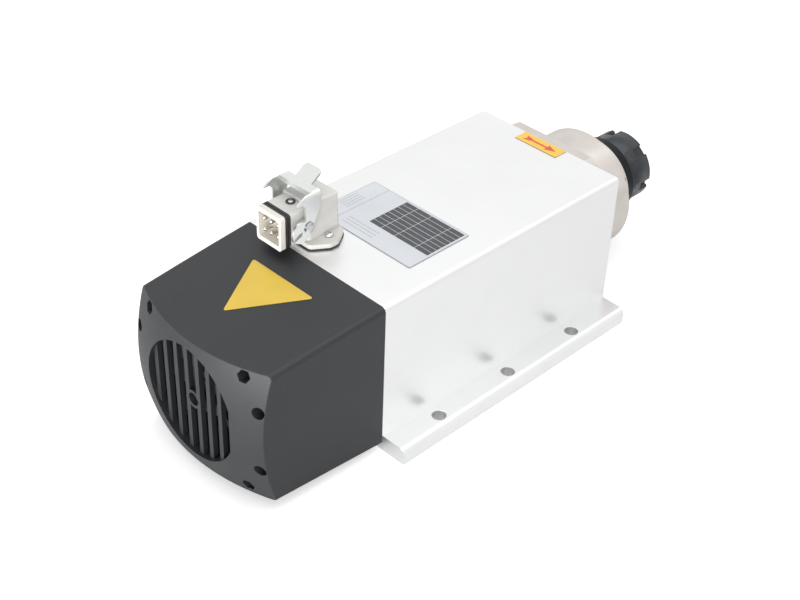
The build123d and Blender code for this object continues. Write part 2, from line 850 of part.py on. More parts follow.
# ------------------------------------------------------------------ fan
with BuildPart() as fan_blade:
    half_chord = fan_blade_chord / 2
    half_sweep = fan_blade_sweep / 2
    with BuildSketch(Plane.YZ.offset(fan_hub_diameter / 2 - fan_blade_root)):
        with BuildLine():
            ThreePointArc(
                (-half_sweep, -half_chord),
                (fan_blade_camber, 0),
                (half_sweep, half_chord),
            )
            Line((half_sweep, half_chord), (half_sweep + fan_blade_thickness, half_chord))
            ThreePointArc(
                (half_sweep + fan_blade_thickness, half_chord),
                (fan_blade_camber + fan_blade_thickness, 0),
                (-half_sweep + fan_blade_thickness, -half_chord),
            )
            Line((-half_sweep + fan_blade_thickness, -half_chord), (-half_sweep, -half_chord))
        make_face()
    extrude(amount=fan_diameter / 2)
    Cylinder(fan_diameter / 2, fan_blade_chord, mode=Mode.INTERSECT)

fan_middle = (fan_rear + fan_front) / 2
with BuildPart(facing_front(fan_middle)) as cooling_fan:
    Cylinder(fan_hub_diameter / 2, fan_hub_length)
    with PolarLocations(0, fan_blades):
        add(fan_blade.part)
    Cylinder(fan_seat / 2 + seat_clearance, fan_hub_length, mode=Mode.SUBTRACT)
save(cooling_fan, "cooling_fan")

with BuildPart(facing_rear(fan_rear)) as fan_retaining_screw:
    Cylinder(
        fan_screw / 2, fan_screw_length, align=(Align.CENTER, Align.CENTER, Align.MAX)
    )
    Cylinder(
        fan_washer_diameter / 2,
        fan_washer_thickness,
        align=(Align.CENTER, Align.CENTER, Align.MIN),
    )
    with Locations((0, 0, fan_washer_thickness)):
        Cylinder(
            fan_screw * head_share,
            fan_screw_head_height,
            align=(Align.CENTER, Align.CENTER, Align.MIN),
        )
save(fan_retaining_screw, "fan_retaining_screw")

# ------------------------------------------------------------------ front bearing housing
barrel_radius = barrel_diameter / 2
flange_front = body_front + front_flange_thickness
spigot_rear = body_front - front_spigot
with BuildPart() as front_bearing_housing:
    with BuildSketch(facing_front(body_front)):
        Circle(front_flange_diameter / 2)
        with Locations((0, (body_top + cover_foot_gap) / 2 - axis_height)):
            Rectangle(front_flange_width, body_top - cover_foot_gap, mode=Mode.INTERSECT)
    extrude(amount=front_flange_thickness)
    with BuildSketch(axial) as barrel_outline:
        with BuildLine():
            Line((body_front, front_outer), (body_front, barrel_radius + barrel_root_radius))
            Line(
                (body_front, barrel_radius + barrel_root_radius),
                (flange_front, barrel_radius + barrel_root_radius),
            )
            RadiusArc(
                (flange_front, barrel_radius + barrel_root_radius),
                (flange_front + barrel_root_radius, barrel_radius),
                -barrel_root_radius,
            )
            Polyline(
                (flange_front + barrel_root_radius, barrel_radius),
                (barrel_front, barrel_radius),
                (barrel_front, front_outer),
                (body_front, front_outer),
            )
        make_face()
    revolve(axis=spindle_axis)
    sleeve(spigot_rear, body_front, spigot_radius - front_spigot_wall, spigot_radius)
    sleeve(body_front, bearing_pair_rear, 0, front_shoulder_bore / 2, mode=Mode.SUBTRACT)
    sleeve(bearing_pair_rear, cap_seat, 0, front_outer + seat_clearance, mode=Mode.SUBTRACT)
    sleeve(cap_seat, barrel_front, 0, barrel_radius - cap_rim, mode=Mode.SUBTRACT)
    with BuildSketch(facing_front(body_front)):
        with GridLocations(2 * corner_screw_x, 2 * corner_screw_z, 2, 2):
            Circle(front_screw / 2 + hole_clearance)
    extrude(amount=front_flange_thickness, mode=Mode.SUBTRACT)
    with BuildSketch(facing_front(cap_seat)):
        with PolarLocations(cap_screw_circle / 2, cap_screw_count, start_angle=cap_screw_start):
            Circle(cap_screw / 2 + thread_clearance)
    extrude(amount=-cap_screw_length, mode=Mode.SUBTRACT)
save(front_bearing_housing, "front_bearing_housing")

front_cap_screw = socket_screw(front_screw, front_screw_length)
with BuildPart(facing_front(flange_front)) as front_housing_screws:
    with GridLocations(2 * corner_screw_x, 2 * corner_screw_z, 2, 2):
        add(front_cap_screw)
save(front_housing_screws, "front_housing_screws")

cap_radius = barrel_radius - cap_rim - seat_clearance
boss_radius = cap_boss_diameter / 2
groove_inner = slinger_lip_inner / 2 - free_clearance
groove_outer = slinger_lip_outer / 2 + free_clearance
groove_depth = slinger_lip_length - slinger_gap + free_clearance
cap_bore = nose_diameter / 2 + free_clearance
with BuildPart() as front_bearing_cap:
    turn(
        (cap_seat, front_high),
        (cap_seat, cap_radius),
        (barrel_front, cap_radius),
        (barrel_front, boss_radius),
        (cap_front - cap_chamfer, boss_radius),
        (cap_front, boss_radius - cap_chamfer),
        (cap_front, groove_outer),
        (cap_front - groove_depth, groove_outer),
        (cap_front - groove_depth, groove_inner),
        (cap_front, groove_inner),
        (cap_front, cap_bore),
        (cap_seat + cap_shoulder, cap_bore),
        (cap_seat + cap_shoulder, front_high),
    )
    with BuildSketch(facing_front(cap_seat)):
        with PolarLocations(cap_screw_circle / 2, cap_screw_count, start_angle=cap_screw_start):
            Circle(cap_screw / 2 + hole_clearance)
    extrude(amount=cap_flange_thickness, mode=Mode.SUBTRACT)
save(front_bearing_cap, "front_bearing_cap")

cap_socket_screw = socket_screw(cap_screw, cap_screw_length)
with BuildPart(facing_front(barrel_front)) as cap_screws:
    with PolarLocations(cap_screw_circle / 2, cap_screw_count, start_angle=cap_screw_start):
        add(cap_socket_screw)
save(cap_screws, "cap_screws")

with BuildPart() as slinger_ring:
    slinger_bore = nose_diameter / 2 + seat_clearance
    turn(
        (slinger_rear, slinger_bore),
        (slinger_rear, slinger_lip_inner / 2),
        (slinger_rear - slinger_lip_length, slinger_lip_inner / 2),
        (slinger_rear - slinger_lip_length, slinger_lip_outer / 2),
        (slinger_rear, slinger_lip_outer / 2),
        (slinger_rear, slinger_diameter / 2),
        (slinger_front, slinger_diameter / 2),
        (slinger_front, slinger_bore),
    )
save(slinger_ring, "slinger_ring")

# ------------------------------------------------------------------ collet and nut
cone_rear = collet_front - collet_cone_length
cone_tip = collet_cone_diameter / 2 - collet_cone_length * math.tan(math.radians(collet_cone))
groove_front = cone_rear - collet_land
slit_depth = collet_length - collet_slit_web

with BuildPart() as slit_tool:
    Box(
        collet_diameter,
        collet_slit_width,
        slit_depth,
        align=(Align.MIN, Align.CENTER, Align.MAX),
    )

with BuildPart() as collet:
    turn(
        (collet_rear, collet_bore / 2),
        (collet_rear, collet_radius(collet_rear)),
        (land_rear, collet_diameter / 2),
        (land_rear, collet_groove_diameter / 2),
        (groove_front, collet_groove_diameter / 2),
        (groove_front, collet_cone_diameter / 2),
        (cone_rear, collet_cone_diameter / 2),
        (collet_front, cone_tip),
        (collet_front, collet_bore / 2),
    )
    with Locations(facing_front(collet_front)):
        with PolarLocations(0, collet_slits):
            add(slit_tool.part, mode=Mode.SUBTRACT)
    with Locations(facing_rear(collet_rear)):
        with PolarLocations(0, collet_slits, start_angle=180 / collet_slits):
            add(slit_tool.part, mode=Mode.SUBTRACT)
save(collet, "collet")

nut_inner = nut_thread / 2 + running_clearance
lip_rear = land_rear + free_clearance
thread_front = lip_rear - nut_thread_relief
lip_radius = collet_groove_diameter / 2 + hole_clearance
lip_front = groove_front - free_clearance
clear_radius = collet_cone_diameter / 2 + hole_clearance
cone_offset = running_clearance / math.cos(math.radians(collet_cone))
with BuildPart() as collet_nut:
    turn(
        (nut_rear, nut_inner),
        (thread_front, nut_inner),
        (thread_front, collet_diameter / 2 + free_clearance),
        (lip_rear, collet_diameter / 2 + free_clearance),
        (lip_rear, lip_radius),
        (lip_front, lip_radius),
        (lip_front, clear_radius),
        (cone_rear, clear_radius),
        (cone_rear, collet_cone_diameter / 2 + cone_offset),
        (collet_front, cone_tip + cone_offset),
        (nut_front, cone_tip + cone_offset),
        (nut_front, nut_diameter / 2 - nut_chamfer),
        (nut_front - nut_chamfer, nut_diameter / 2),
        (nut_rear + nut_chamfer / 2, nut_diameter / 2),
        (nut_rear, nut_diameter / 2 - nut_chamfer / 2),
    )
    with BuildSketch(facing_front(nut_front)):
        with PolarLocations(nut_diameter / 2, nut_slots, start_angle=90):
            Rectangle(2 * nut_slot_depth, nut_slot_width)
    extrude(amount=-nut_slot_length, mode=Mode.SUBTRACT)
save(collet_nut, "collet_nut")

# ------------------------------------------------------------------ connector
gasket_top = body_top + gasket_thickness
flange_top = body_top + flange_height
hood_low = body_top + hood_bottom
hood_high = body_top + hood_top
hood_middle = (hood_low + hood_high) / 2
hood_height = hood_high - hood_low


def flange_outline(border):
    """The rhombic flange seen from above, drawn out by a border."""
    half_tip = flange_tip / 2 + border
    half_length = flange_length / 2 + border
    half_end = flange_end / 2
    shoulder = flange_shoulder / 2
    with BuildSketch(Plane.XY) as outline:
        with BuildLine():
            Polyline(
                (-half_tip, half_end),
                (-shoulder, half_length),
                (shoulder, half_length),
                (half_tip, half_end),
                (half_tip, -half_end),
                (shoulder, -half_length),
                (-shoulder, -half_length),
                (-half_tip, -half_end),
                close=True,
            )
        make_face()
        fillet(outline.vertices(), flange_corner_radius)
    return outline.sketch


flange_plan = flange_outline(0)
gasket_plan = flange_outline(gasket_border)

with BuildPart() as connector_gasket:
    with BuildSketch(Plane.XY.offset(body_top)):
        with Locations((connector_x, flange_y)):
            add(gasket_plan)
            Circle(cable_hole / 2, mode=Mode.SUBTRACT)
        with Locations((connector_x, flange_screw_y)):
            with GridLocations(flange_screw_spacing, 0, 2, 1):
                Circle(flange_screw / 2 + hole_clearance, mode=Mode.SUBTRACT)
    extrude(amount=gasket_thickness)
save(connector_gasket, "connector_gasket")


def hood_plane(station):
    """Plane across the connector's opening, facing the rear, centred on the hood."""
    return Plane(origin=(connector_x, station, hood_middle), x_dir=(1, 0, 0), z_dir=(0, -1, 0))


lever_pivot_z = body_top + lever_pivot_rise
boss_reach = lever_inner_width / 2 - free_clearance
with BuildPart() as connector_housing:
    with BuildSketch(Plane.XY.offset(gasket_top)):
        with Locations((connector_x, flange_y)):
            add(flange_plan)
    extrude(amount=flange_top - gasket_top)
    with BuildSketch(Plane.XY.offset(flange_top)):
        with Locations((connector_x, tower_middle)):
            RectangleRounded(tower_width, tower_length, tower_edge_radius)
    extrude(amount=tower_top - flange_height, taper=tower_draft)
    fillet(connector_housing.edges().group_by(Axis.Z)[-1], tower_top_radius)
    with BuildSketch(hood_plane(tower_middle)):
        RectangleRounded(hood_width, hood_height, hood_edge_radius)
    extrude(amount=tower_middle - hood_front)
    with BuildSketch(Plane(origin=(connector_x, 0, 0), x_dir=(0, 1, 0), z_dir=(1, 0, 0))):
        with Locations((lever_pivot_y, lever_pivot_z)):
            Circle(lever_pin / 2 + lever_boss_wall)
    extrude(amount=boss_reach, both=True)
    with BuildSketch(hood_plane(hood_front)):
        RectangleRounded(
            hood_width - 2 * hood_wall, hood_height - 2 * hood_wall, hood_mouth_radius
        )
    extrude(amount=-(insert_length + insert_end_gap), mode=Mode.SUBTRACT)
    with BuildSketch(Plane.XY.offset(gasket_top)):
        with Locations((connector_x, flange_y)):
            Circle(cable_hole / 2)
    extrude(amount=hood_middle - gasket_top, mode=Mode.SUBTRACT)
    with BuildSketch(Plane.XY.offset(flange_top)):
        with Locations((connector_x, flange_screw_y)):
            with GridLocations(flange_screw_spacing, 0, 2, 1):
                Circle(flange_screw / 2 + hole_clearance)
    extrude(amount=-flange_height, mode=Mode.SUBTRACT)
    with BuildSketch(Plane.XY.offset(hood_high)):
        with Locations((connector_x, set_screw_y)):
            Circle(set_screw / 2 + thread_clearance)
    extrude(amount=-hood_wall, mode=Mode.SUBTRACT)
save(connector_housing, "connector_housing")

flange_pan_screw = pan_screw(flange_screw, flange_screw_length)
with BuildPart(Plane.XY.offset(flange_top)) as connector_flange_screws:
    with Locations((connector_x, flange_screw_y)):
        with GridLocations(flange_screw_spacing, 0, 2, 1):
            add(flange_pan_screw)
save(connector_flange_screws, "connector_flange_screws")

seal_front = hood_front - seal_length
insert_width = hood_width - 2 * hood_wall - 2 * hole_clearance
insert_height = hood_height - 2 * hood_wall - 2 * hole_clearance
insert_front = seal_front - insert_rim_length
recess_floor = insert_front + insert_recess_depth
insert_rear = hood_front + insert_length

with BuildPart() as connector_seal:
    with BuildSketch(hood_plane(hood_front)):
        RectangleRounded(hood_width, hood_height, hood_edge_radius)
        RectangleRounded(
            insert_width + 2 * free_clearance,
            insert_height + 2 * free_clearance,
            insert_corner_radius / 2,
            mode=Mode.SUBTRACT,
        )
    extrude(amount=seal_length)
    with BuildSketch(hood_plane(hood_front - (seal_length - seal_groove_width) / 2)):
        Rectangle(2 * hood_width, 2 * hood_height)
        RectangleRounded(
            hood_width - 2 * seal_groove_depth,
            hood_height - 2 * seal_groove_depth,
            hood_edge_radius - seal_groove_depth,
            mode=Mode.SUBTRACT,
        )
    extrude(amount=seal_groove_width, mode=Mode.SUBTRACT)
save(connector_seal, "connector_seal")

with BuildPart() as connector_insert:
    with BuildSketch(hood_plane(insert_rear)):
        RectangleRounded(insert_width, insert_height, insert_corner_radius / 2)
    extrude(amount=insert_rear - seal_front)
    with BuildSketch(hood_plane(seal_front)):
        RectangleRounded(insert_rim_width, insert_rim_height, insert_corner_radius)
    extrude(amount=insert_rim_length)
    with BuildSketch(hood_plane(insert_front)):
        RectangleRounded(
            insert_width - 2 * insert_side_wall,
            insert_height - 2 * insert_top_wall,
            insert_corner_radius / 2,
        )
    extrude(amount=-insert_recess_depth, mode=Mode.SUBTRACT)
    with BuildSketch(hood_plane(recess_floor)):
        with GridLocations(pin_pitch_x, pin_pitch_z, 3, 2):
            Circle(pin_diameter / 2 + thread_clearance)
    extrude(amount=-pin_foot, mode=Mode.SUBTRACT)
    with BuildSketch(Plane.XY.offset(hood_high)):
        with Locations((connector_x, set_screw_y)):
            Circle(set_screw / 2 + thread_clearance)
    extrude(amount=-(hood_wall + hole_clearance + insert_top_wall), mode=Mode.SUBTRACT)
save(connector_insert, "connector_insert")

with BuildPart() as connector_pins:
    with BuildSketch(hood_plane(recess_floor + pin_foot)):
        with GridLocations(pin_pitch_x, pin_pitch_z, 3, 2):
            Circle(pin_diameter / 2)
    extrude(amount=pin_foot + insert_recess_depth - pin_setback)
save(connector_pins, "connector_pins")

with BuildPart(Plane.XY.offset(hood_high)) as insert_screw:
    with Locations((connector_x, set_screw_y)):
        Cylinder(
            set_screw / 2, set_screw_length, align=(Align.CENTER, Align.CENTER, Align.MAX)
        )
        Cylinder(
            set_screw_head / 2,
            set_screw_head_height,
            align=(Align.CENTER, Align.CENTER, Align.MIN),
        )
save(insert_screw, "insert_screw")

with BuildPart(Plane.XY.offset(hood_high)) as insert_screw_o_ring:
    ring_inner = set_screw_head / 2 + thread_clearance
    with BuildSketch(Plane.XY.offset(hood_high)):
        with Locations((connector_x, set_screw_y)):
            Circle(ring_inner + o_ring_width)
            Circle(ring_inner, mode=Mode.SUBTRACT)
    extrude(amount=o_ring_height)
save(insert_screw_o_ring, "insert_screw_o_ring")

# ------------------------------------------------------------------ locking lever
arm_inner = lever_inner_width / 2
arm_outer = arm_inner + lever_sheet
bend_inner = lever_bend - lever_sheet
lever_span = 2 * (lever_rise + lever_sheet)


def lever_side(offset):
    """Plane of a lever arm, seen from +X, at an offset from the connector's middle."""
    return Plane(
        origin=(connector_x + offset, lever_pivot_y, lever_pivot_z),
        x_dir=(0, 1, 0),
        z_dir=(1, 0, 0),
    )


tab_root = lever_side(0).from_local_coords((lever_bridge_front, lever_rise - lever_sheet, 0))
tab_plane = Plane(origin=tab_root, x_dir=(1, 0, 0), z_dir=(0, 0, 1)).rotated(
    (lever_tab_angle, 0, 0)
)

with BuildPart() as locking_lever:
    with BuildSketch(lever_side(-arm_outer)):
        with BuildLine():
            throat = (-lever_arm_front, lever_throat_rise)
            horn_low = (-lever_horn_reach, lever_horn_rise)
            horn_high = (-lever_horn_reach, lever_horn_rise + lever_horn_tip)
            bridge_edge = (lever_bridge_rear, lever_rise)
            TangentArc(throat, horn_low, tangent=(0, 1))
            Line(horn_low, horn_high)
            TangentArc(bridge_edge, horn_high, tangent=(-1, 0))
            Polyline(
                bridge_edge,
                (lever_bridge_front, lever_rise),
                (lever_belly_reach, lever_belly_rise),
                (lever_waist_reach, lever_waist_rise),
                (lever_arm_foot, 0),
                (-lever_arm_front, 0),
                throat,
            )
        make_face()
        Circle(lever_eye / 2)
        with Locations((-lever_lobe_offset, -lever_lobe_drop)):
            Circle(lever_lobe_radius)
        Circle(lever_pin / 2 + running_clearance, mode=Mode.SUBTRACT)
        with Locations((-lever_notch_reach, -lever_notch_drop)):
            SlotOverall(
                lever_notch_length,
                lever_notch_width,
                rotation=lever_notch_angle,
                mode=Mode.SUBTRACT,
            )
    extrude(amount=2 * arm_outer)
    with BuildSketch(hood_plane(lever_pivot_y + lever_span)):
        with Locations((0, lever_pivot_z + lever_rise - hood_middle)):
            RectangleRounded(
                2 * arm_outer, lever_span, lever_bend, align=(Align.CENTER, Align.MAX)
            )
        with Locations((0, lever_pivot_z + lever_rise - lever_sheet - hood_middle)):
            RectangleRounded(
                2 * arm_inner,
                lever_span,
                bend_inner,
                align=(Align.CENTER, Align.MAX),
                mode=Mode.SUBTRACT,
            )
    extrude(amount=2 * lever_span, mode=Mode.INTERSECT)
    with BuildSketch(lever_side(-arm_inner)):
        with Locations((lever_bridge_rear, 0)):
            Rectangle(lever_span, lever_span, align=(Align.MAX, Align.CENTER))
    extrude(amount=2 * arm_inner, mode=Mode.SUBTRACT)
    with BuildSketch(lever_side(-arm_inner)):
        with Locations((lever_bridge_rear, lever_rise)):
            Rectangle(lever_sheet, lever_lip_drop, align=(Align.MIN, Align.MAX))
    extrude(amount=2 * arm_inner)
    with BuildSketch(tab_plane):
        RectangleRounded(
            lever_tab_width,
            lever_tab_length,
            lever_tab_radius,
            align=(Align.CENTER, Align.MIN),
        )
        Rectangle(lever_tab_width, lever_tab_length / 2, align=(Align.CENTER, Align.MIN))
    extrude(amount=lever_sheet)
save(locking_lever, "locking_lever")

with BuildPart() as lever_pins:
    for side in (-1, 1):
        inner = boss_reach * side
        with BuildSketch(lever_side(inner)):
            Circle(lever_pin / 2)
        extrude(amount=(arm_outer + free_clearance - boss_reach) * side)
        with BuildSketch(lever_side((arm_outer + free_clearance) * side)):
            Circle(lever_pin_head / 2)
        extrude(amount=lever_pin_head_height * side)
save(lever_pins, "lever_pins")

# ------------------------------------------------------------------ plates
with BuildPart() as nameplate:
    with BuildSketch(Plane.XY.offset(body_top)):
        with Locations((0, nameplate_y)):
            RectangleRounded(nameplate_width, nameplate_length, 1.0)
    extrude(amount=plate_thickness)
save(nameplate, "nameplate")

with BuildPart() as arrow_label:
    with BuildSketch(Plane.XY.offset(body_top)):
        with Locations((arrow_label_x, body_front - arrow_label_margin - arrow_label_length / 2)):
            Rectangle(arrow_label_width, arrow_label_length)
    extrude(amount=plate_thickness)
save(arrow_label, "arrow_label")

with BuildPart() as blank_triangle_sticker:
    with BuildSketch(Plane.YZ):
        with BuildLine():
            top_arc(0)
            Line((body_rear, body_top), (body_rear, body_top + plate_thickness))
            top_arc(plate_thickness)
            Line(
                (cover_back, body_top + plate_thickness - cover_top_drop),
                (cover_back, body_top - cover_top_drop),
            )
        make_face()
    extrude(amount=body_width / 2, both=True)
    with BuildSketch(Plane.XY) as triangle:
        with Locations((sticker_x, body_rear - sticker_base_margin)):
            Triangle(
                a=sticker_side,
                b=sticker_side,
                c=sticker_side,
                rotation=180,
                align=(Align.CENTER, Align.MIN),
            )
        fillet(triangle.vertices(), sticker_corner_radius)
    extrude(amount=2 * body_height, mode=Mode.INTERSECT)
save(blank_triangle_sticker, "blank_triangle_sticker")
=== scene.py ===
"""Dresses the square air-cooled motor spindle: its finishes, its small pieces and the studio."""

import logging
import math
from dataclasses import dataclass
from enum import Enum
from typing import Callable, Iterable, Mapping, Optional, Protocol, Sequence, Union

import bmesh
import bpy
from bmesh.types import BMesh, BMFace, BMVert
from mathutils import Matrix, Vector


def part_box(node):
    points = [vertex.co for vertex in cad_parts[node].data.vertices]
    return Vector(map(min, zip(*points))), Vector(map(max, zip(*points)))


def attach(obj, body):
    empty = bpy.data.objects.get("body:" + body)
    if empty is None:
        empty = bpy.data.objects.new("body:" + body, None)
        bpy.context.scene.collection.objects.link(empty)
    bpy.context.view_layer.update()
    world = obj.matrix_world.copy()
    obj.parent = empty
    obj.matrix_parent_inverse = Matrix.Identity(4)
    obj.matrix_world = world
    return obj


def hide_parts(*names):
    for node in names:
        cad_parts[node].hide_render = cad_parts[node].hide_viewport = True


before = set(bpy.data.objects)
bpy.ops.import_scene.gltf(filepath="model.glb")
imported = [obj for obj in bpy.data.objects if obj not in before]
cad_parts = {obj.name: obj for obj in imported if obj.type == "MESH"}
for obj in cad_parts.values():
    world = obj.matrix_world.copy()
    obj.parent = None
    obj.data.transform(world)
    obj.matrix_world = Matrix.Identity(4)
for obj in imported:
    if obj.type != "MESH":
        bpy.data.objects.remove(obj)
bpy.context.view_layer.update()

LOG = logging.getLogger("motor_spindle")
MM = 0.001
AXIS_HEIGHT = 54.0 * MM
BODY_TOP = 105.0 * MM
MERGE_DISTANCE = 2e-7

BEVEL_SAMPLES = 4
WHITE = (1.0, 1.0, 1.0, 1.0)
# How far the normal of a broken edge leans where wear starts, and where it is full.
WEAR_START, WEAR_FULL = 0.004, 0.16

Colour = tuple[float, float, float]
Pair = tuple[float, float]
Point = tuple[float, float, float]


# ---------------------------------------------------------------- shader maths
class Wire:
    """A number, colour or vector on its way between two nodes, with arithmetic on numbers."""

    def __init__(self, graph: "Graph", socket: bpy.types.NodeSocket) -> None:
        """Keeps the node tree and the output socket that the value leaves from."""
        self.graph = graph
        self.socket = socket

    def maths(self, operation: str, first: "Value", second: "Value" = 0.0) -> "Wire":
        """Adds one Math node over two values."""
        return self.graph.node("ShaderNodeMath", {"operation": operation}, {0: first, 1: second})

    def __add__(self, other: "Value") -> "Wire":
        """Sum of two values."""
        return self.maths("ADD", self, other)

    __radd__ = __add__

    def __sub__(self, other: "Value") -> "Wire":
        """Difference of two values."""
        return self.maths("SUBTRACT", self, other)

    def __rsub__(self, other: "Value") -> "Wire":
        """Difference with the number first."""
        return self.maths("SUBTRACT", other, self)

    def __mul__(self, other: "Value") -> "Wire":
        """Product of two values."""
        return self.maths("MULTIPLY", self, other)

    __rmul__ = __mul__

    def __abs__(self) -> "Wire":
        """Distance from zero."""
        return self.maths("ABSOLUTE", self)

    def root(self) -> "Wire":
        """Square root."""
        return self.maths("SQRT", self)

    def wave(self, length: float) -> "Wire":
        """A sine wave along this distance, one turn to each length, in metres."""
        return self.maths("SINE", self * (math.tau / length))

    def most(self, other: "Value") -> "Wire":
        """The larger of two values."""
        return self.maths("MAXIMUM", self, other)

    def ramp(self, low: float, high: float, start: float = 0.0, end: float = 1.0) -> "Wire":
        """Eases from one value to another as this one crosses a band.

        Args:
            low: Where the band starts.
            high: Where the band ends.
            start: The result below the band.
            end: The result above the band.

        Returns:
            The eased value.
        """
        return self.graph.node(
            "ShaderNodeMapRange",
            {"interpolation_type": "SMOOTHSTEP"},
            {"Value": self, "From Min": low, "From Max": high, "To Min": start, "To Max": end},
        )


Value = Union[Wire, float]
Socket = Union[Wire, float, Sequence[float]]


class Graph:
    """The node tree of one material, world or floor."""

    def __init__(self, owner: Union[bpy.types.Material, bpy.types.World]) -> None:
        """Starts with an empty tree.

        Args:
            owner: The material or world whose tree this is.
        """
        owner.use_nodes = True
        self.tree = owner.node_tree
        self.tree.nodes.clear()

    def node(
        self,
        kind: str,
        settings: Optional[Mapping[str, object]] = None,
        sockets: Optional[Mapping[Union[str, int], Socket]] = None,
        output: Union[str, int] = 0,
    ) -> Wire:
        """Makes any node: its settings first, then its sockets.

        Args:
            kind: The node's type.
            settings: Its properties.
            sockets: Values or wires for its inputs, by name or number.
            output: The output to hand on.

        Returns:
            The chosen output.
        """
        made = self.tree.nodes.new(kind)
        for name, value in (settings or {}).items():
            setattr(made, name, value)
        for name, value in (sockets or {}).items():
            if isinstance(value, Wire):
                self.tree.links.new(value.socket, made.inputs[name])
            else:
                made.inputs[name].default_value = value
        return Wire(self, made.outputs[output])

    def beside(self, wire: Wire, output: Union[str, int]) -> Wire:
        """Another output, by name or number, of the node that a value comes from."""
        return Wire(self, wire.socket.node.outputs[output])

    def mix(self, factor: Value, first: Union[Wire, Colour], second: Union[Wire, Colour]) -> Wire:
        """Mixes two colours.

        Args:
            factor: How much of the second colour shows.
            first: The first colour.
            second: The second colour.

        Returns:
            The mixed colour.
        """
        ends = {
            key: value if isinstance(value, Wire) else (*value, 1.0)
            for key, value in ((6, first), (7, second))
        }
        settings = {"data_type": "RGBA", "clamp_factor": True}
        return self.node("ShaderNodeMix", settings, {0: factor, **ends}, 2)

    def place(self) -> Wire:
        """Where a point sits on the object, in metres."""
        return self.node("ShaderNodeTexCoord", output="Object")

    def scaled(self, vector: Wire, factors: Point) -> Wire:
        """Stretches a vector by a factor along each axis."""
        return self.node("ShaderNodeVectorMath", {"operation": "MULTIPLY"}, {0: vector, 1: factors})

    def parts(self, vector: Wire) -> tuple[Wire, Wire, Wire]:
        """Splits a vector into its X, Y and Z."""
        x = self.node("ShaderNodeSeparateXYZ", None, {0: vector})
        return x, self.beside(x, 1), self.beside(x, 2)

    def noise(self, vector: Wire, scale: float, detail: float = 2.0, rough: float = 0.5) -> Wire:
        """Fractal noise between 0 and 1, its scale in features per metre."""
        inputs = {"Vector": vector, "Scale": scale, "Detail": detail, "Roughness": rough}
        return self.node("ShaderNodeTexNoise", {"noise_dimensions": "3D"}, inputs, "Fac")

    def line_noise(self, along: Wire, scale: float, detail: float = 2.0) -> Wire:
        """Noise that varies along one number only, as tool marks do."""
        inputs = {"W": along, "Scale": scale, "Detail": detail}
        return self.node("ShaderNodeTexNoise", {"noise_dimensions": "1D"}, inputs, "Fac")

    def about_axis(self) -> tuple[Wire, Wire]:
        """Distance from the spindle axis and the station along it, in metres."""
        x, y, z = self.parts(self.place())
        height = z - AXIS_HEIGHT
        return (x * x + height * height).root(), y

    def rounded(self, radius: float) -> Wire:
        """The normal of an edge broken by a small radius."""
        return self.node("ShaderNodeBevel", {"samples": BEVEL_SAMPLES}, {"Radius": radius}, "Normal")

    def worn(self, radius: float) -> tuple[Wire, Wire]:
        """Finds worn edges.

        Args:
            radius: What they are broken by, in metres.

        Returns:
            The normal with its edges broken, and 0 on open faces, towards 1 on sharp edges.
        """
        rounded = self.rounded(radius)
        plain = self.node("ShaderNodeNewGeometry", output="Normal")
        dot = {"operation": "DOT_PRODUCT"}
        facing = self.node("ShaderNodeVectorMath", dot, {0: rounded, 1: plain}, "Value")
        return rounded, (1.0 - facing).ramp(WEAR_START, WEAR_FULL)

    def bump(self, height: Value, distance: float, normal: Optional[Wire] = None) -> Wire:
        """Relief on the surface.

        Args:
            height: The relief, 0 to 1.
            distance: What 1 stands for, in metres.
            normal: The normal it is added to.

        Returns:
            The new normal.
        """
        sockets: dict[str, Socket] = {"Height": height, "Distance": distance, "Strength": 1.0}
        if normal is not None:
            sockets["Normal"] = normal
        return self.node("ShaderNodeBump", None, sockets, "Normal")

    def surface(
        self, colour: Wire, rough: Wire, normal: Wire, more: Optional[Mapping[str, Socket]] = None
    ) -> None:
        """Ends a material in a Principled shader.

        Args:
            colour: Its base colour.
            rough: Its roughness.
            normal: Its normal.
            more: Other sockets' values and wires.
        """
        sockets = {"Base Color": colour, "Roughness": rough, "Normal": normal, **(more or {})}
        shader = self.node("ShaderNodeBsdfPrincipled", None, sockets)
        self.node_output("ShaderNodeOutputMaterial", shader)

    def node_output(self, kind: str, shader: Wire) -> None:
        """Links a shader to the tree's output."""
        made = self.tree.nodes.new(kind)
        self.tree.links.new(shader.socket, made.inputs["Surface"])


# ---------------------------------------------------------------- finishes
@dataclass(frozen=True)
class Finish:
    """A surface finish, with its colour and its roughness on the whole."""

    name: str
    colour: Colour
    roughness: float = 0.3

    def build(self) -> bpy.types.Material:
        """Makes the material."""
        material = bpy.data.materials.new(self.name)
        self.paint(Graph(material))
        return material

    def paint(self, graph: Graph) -> None:
        """Draws the finish in a material's tree."""
        raise NotImplementedError

    def tone(self, factor: float) -> Colour:
        """The colour lightened or darkened by a factor, no brighter than white."""
        return tuple(min(1.0, channel * factor) for channel in self.colour)

    def clouded(
        self, cloud: Wire, dark: float, light: float, low: float = 0.3, high: float = 0.7
    ) -> Wire:
        """Drifts from a dark to a light tone as a noise rises from low to high."""
        return cloud.graph.mix(cloud.ramp(low, high), self.tone(dark), self.tone(light))


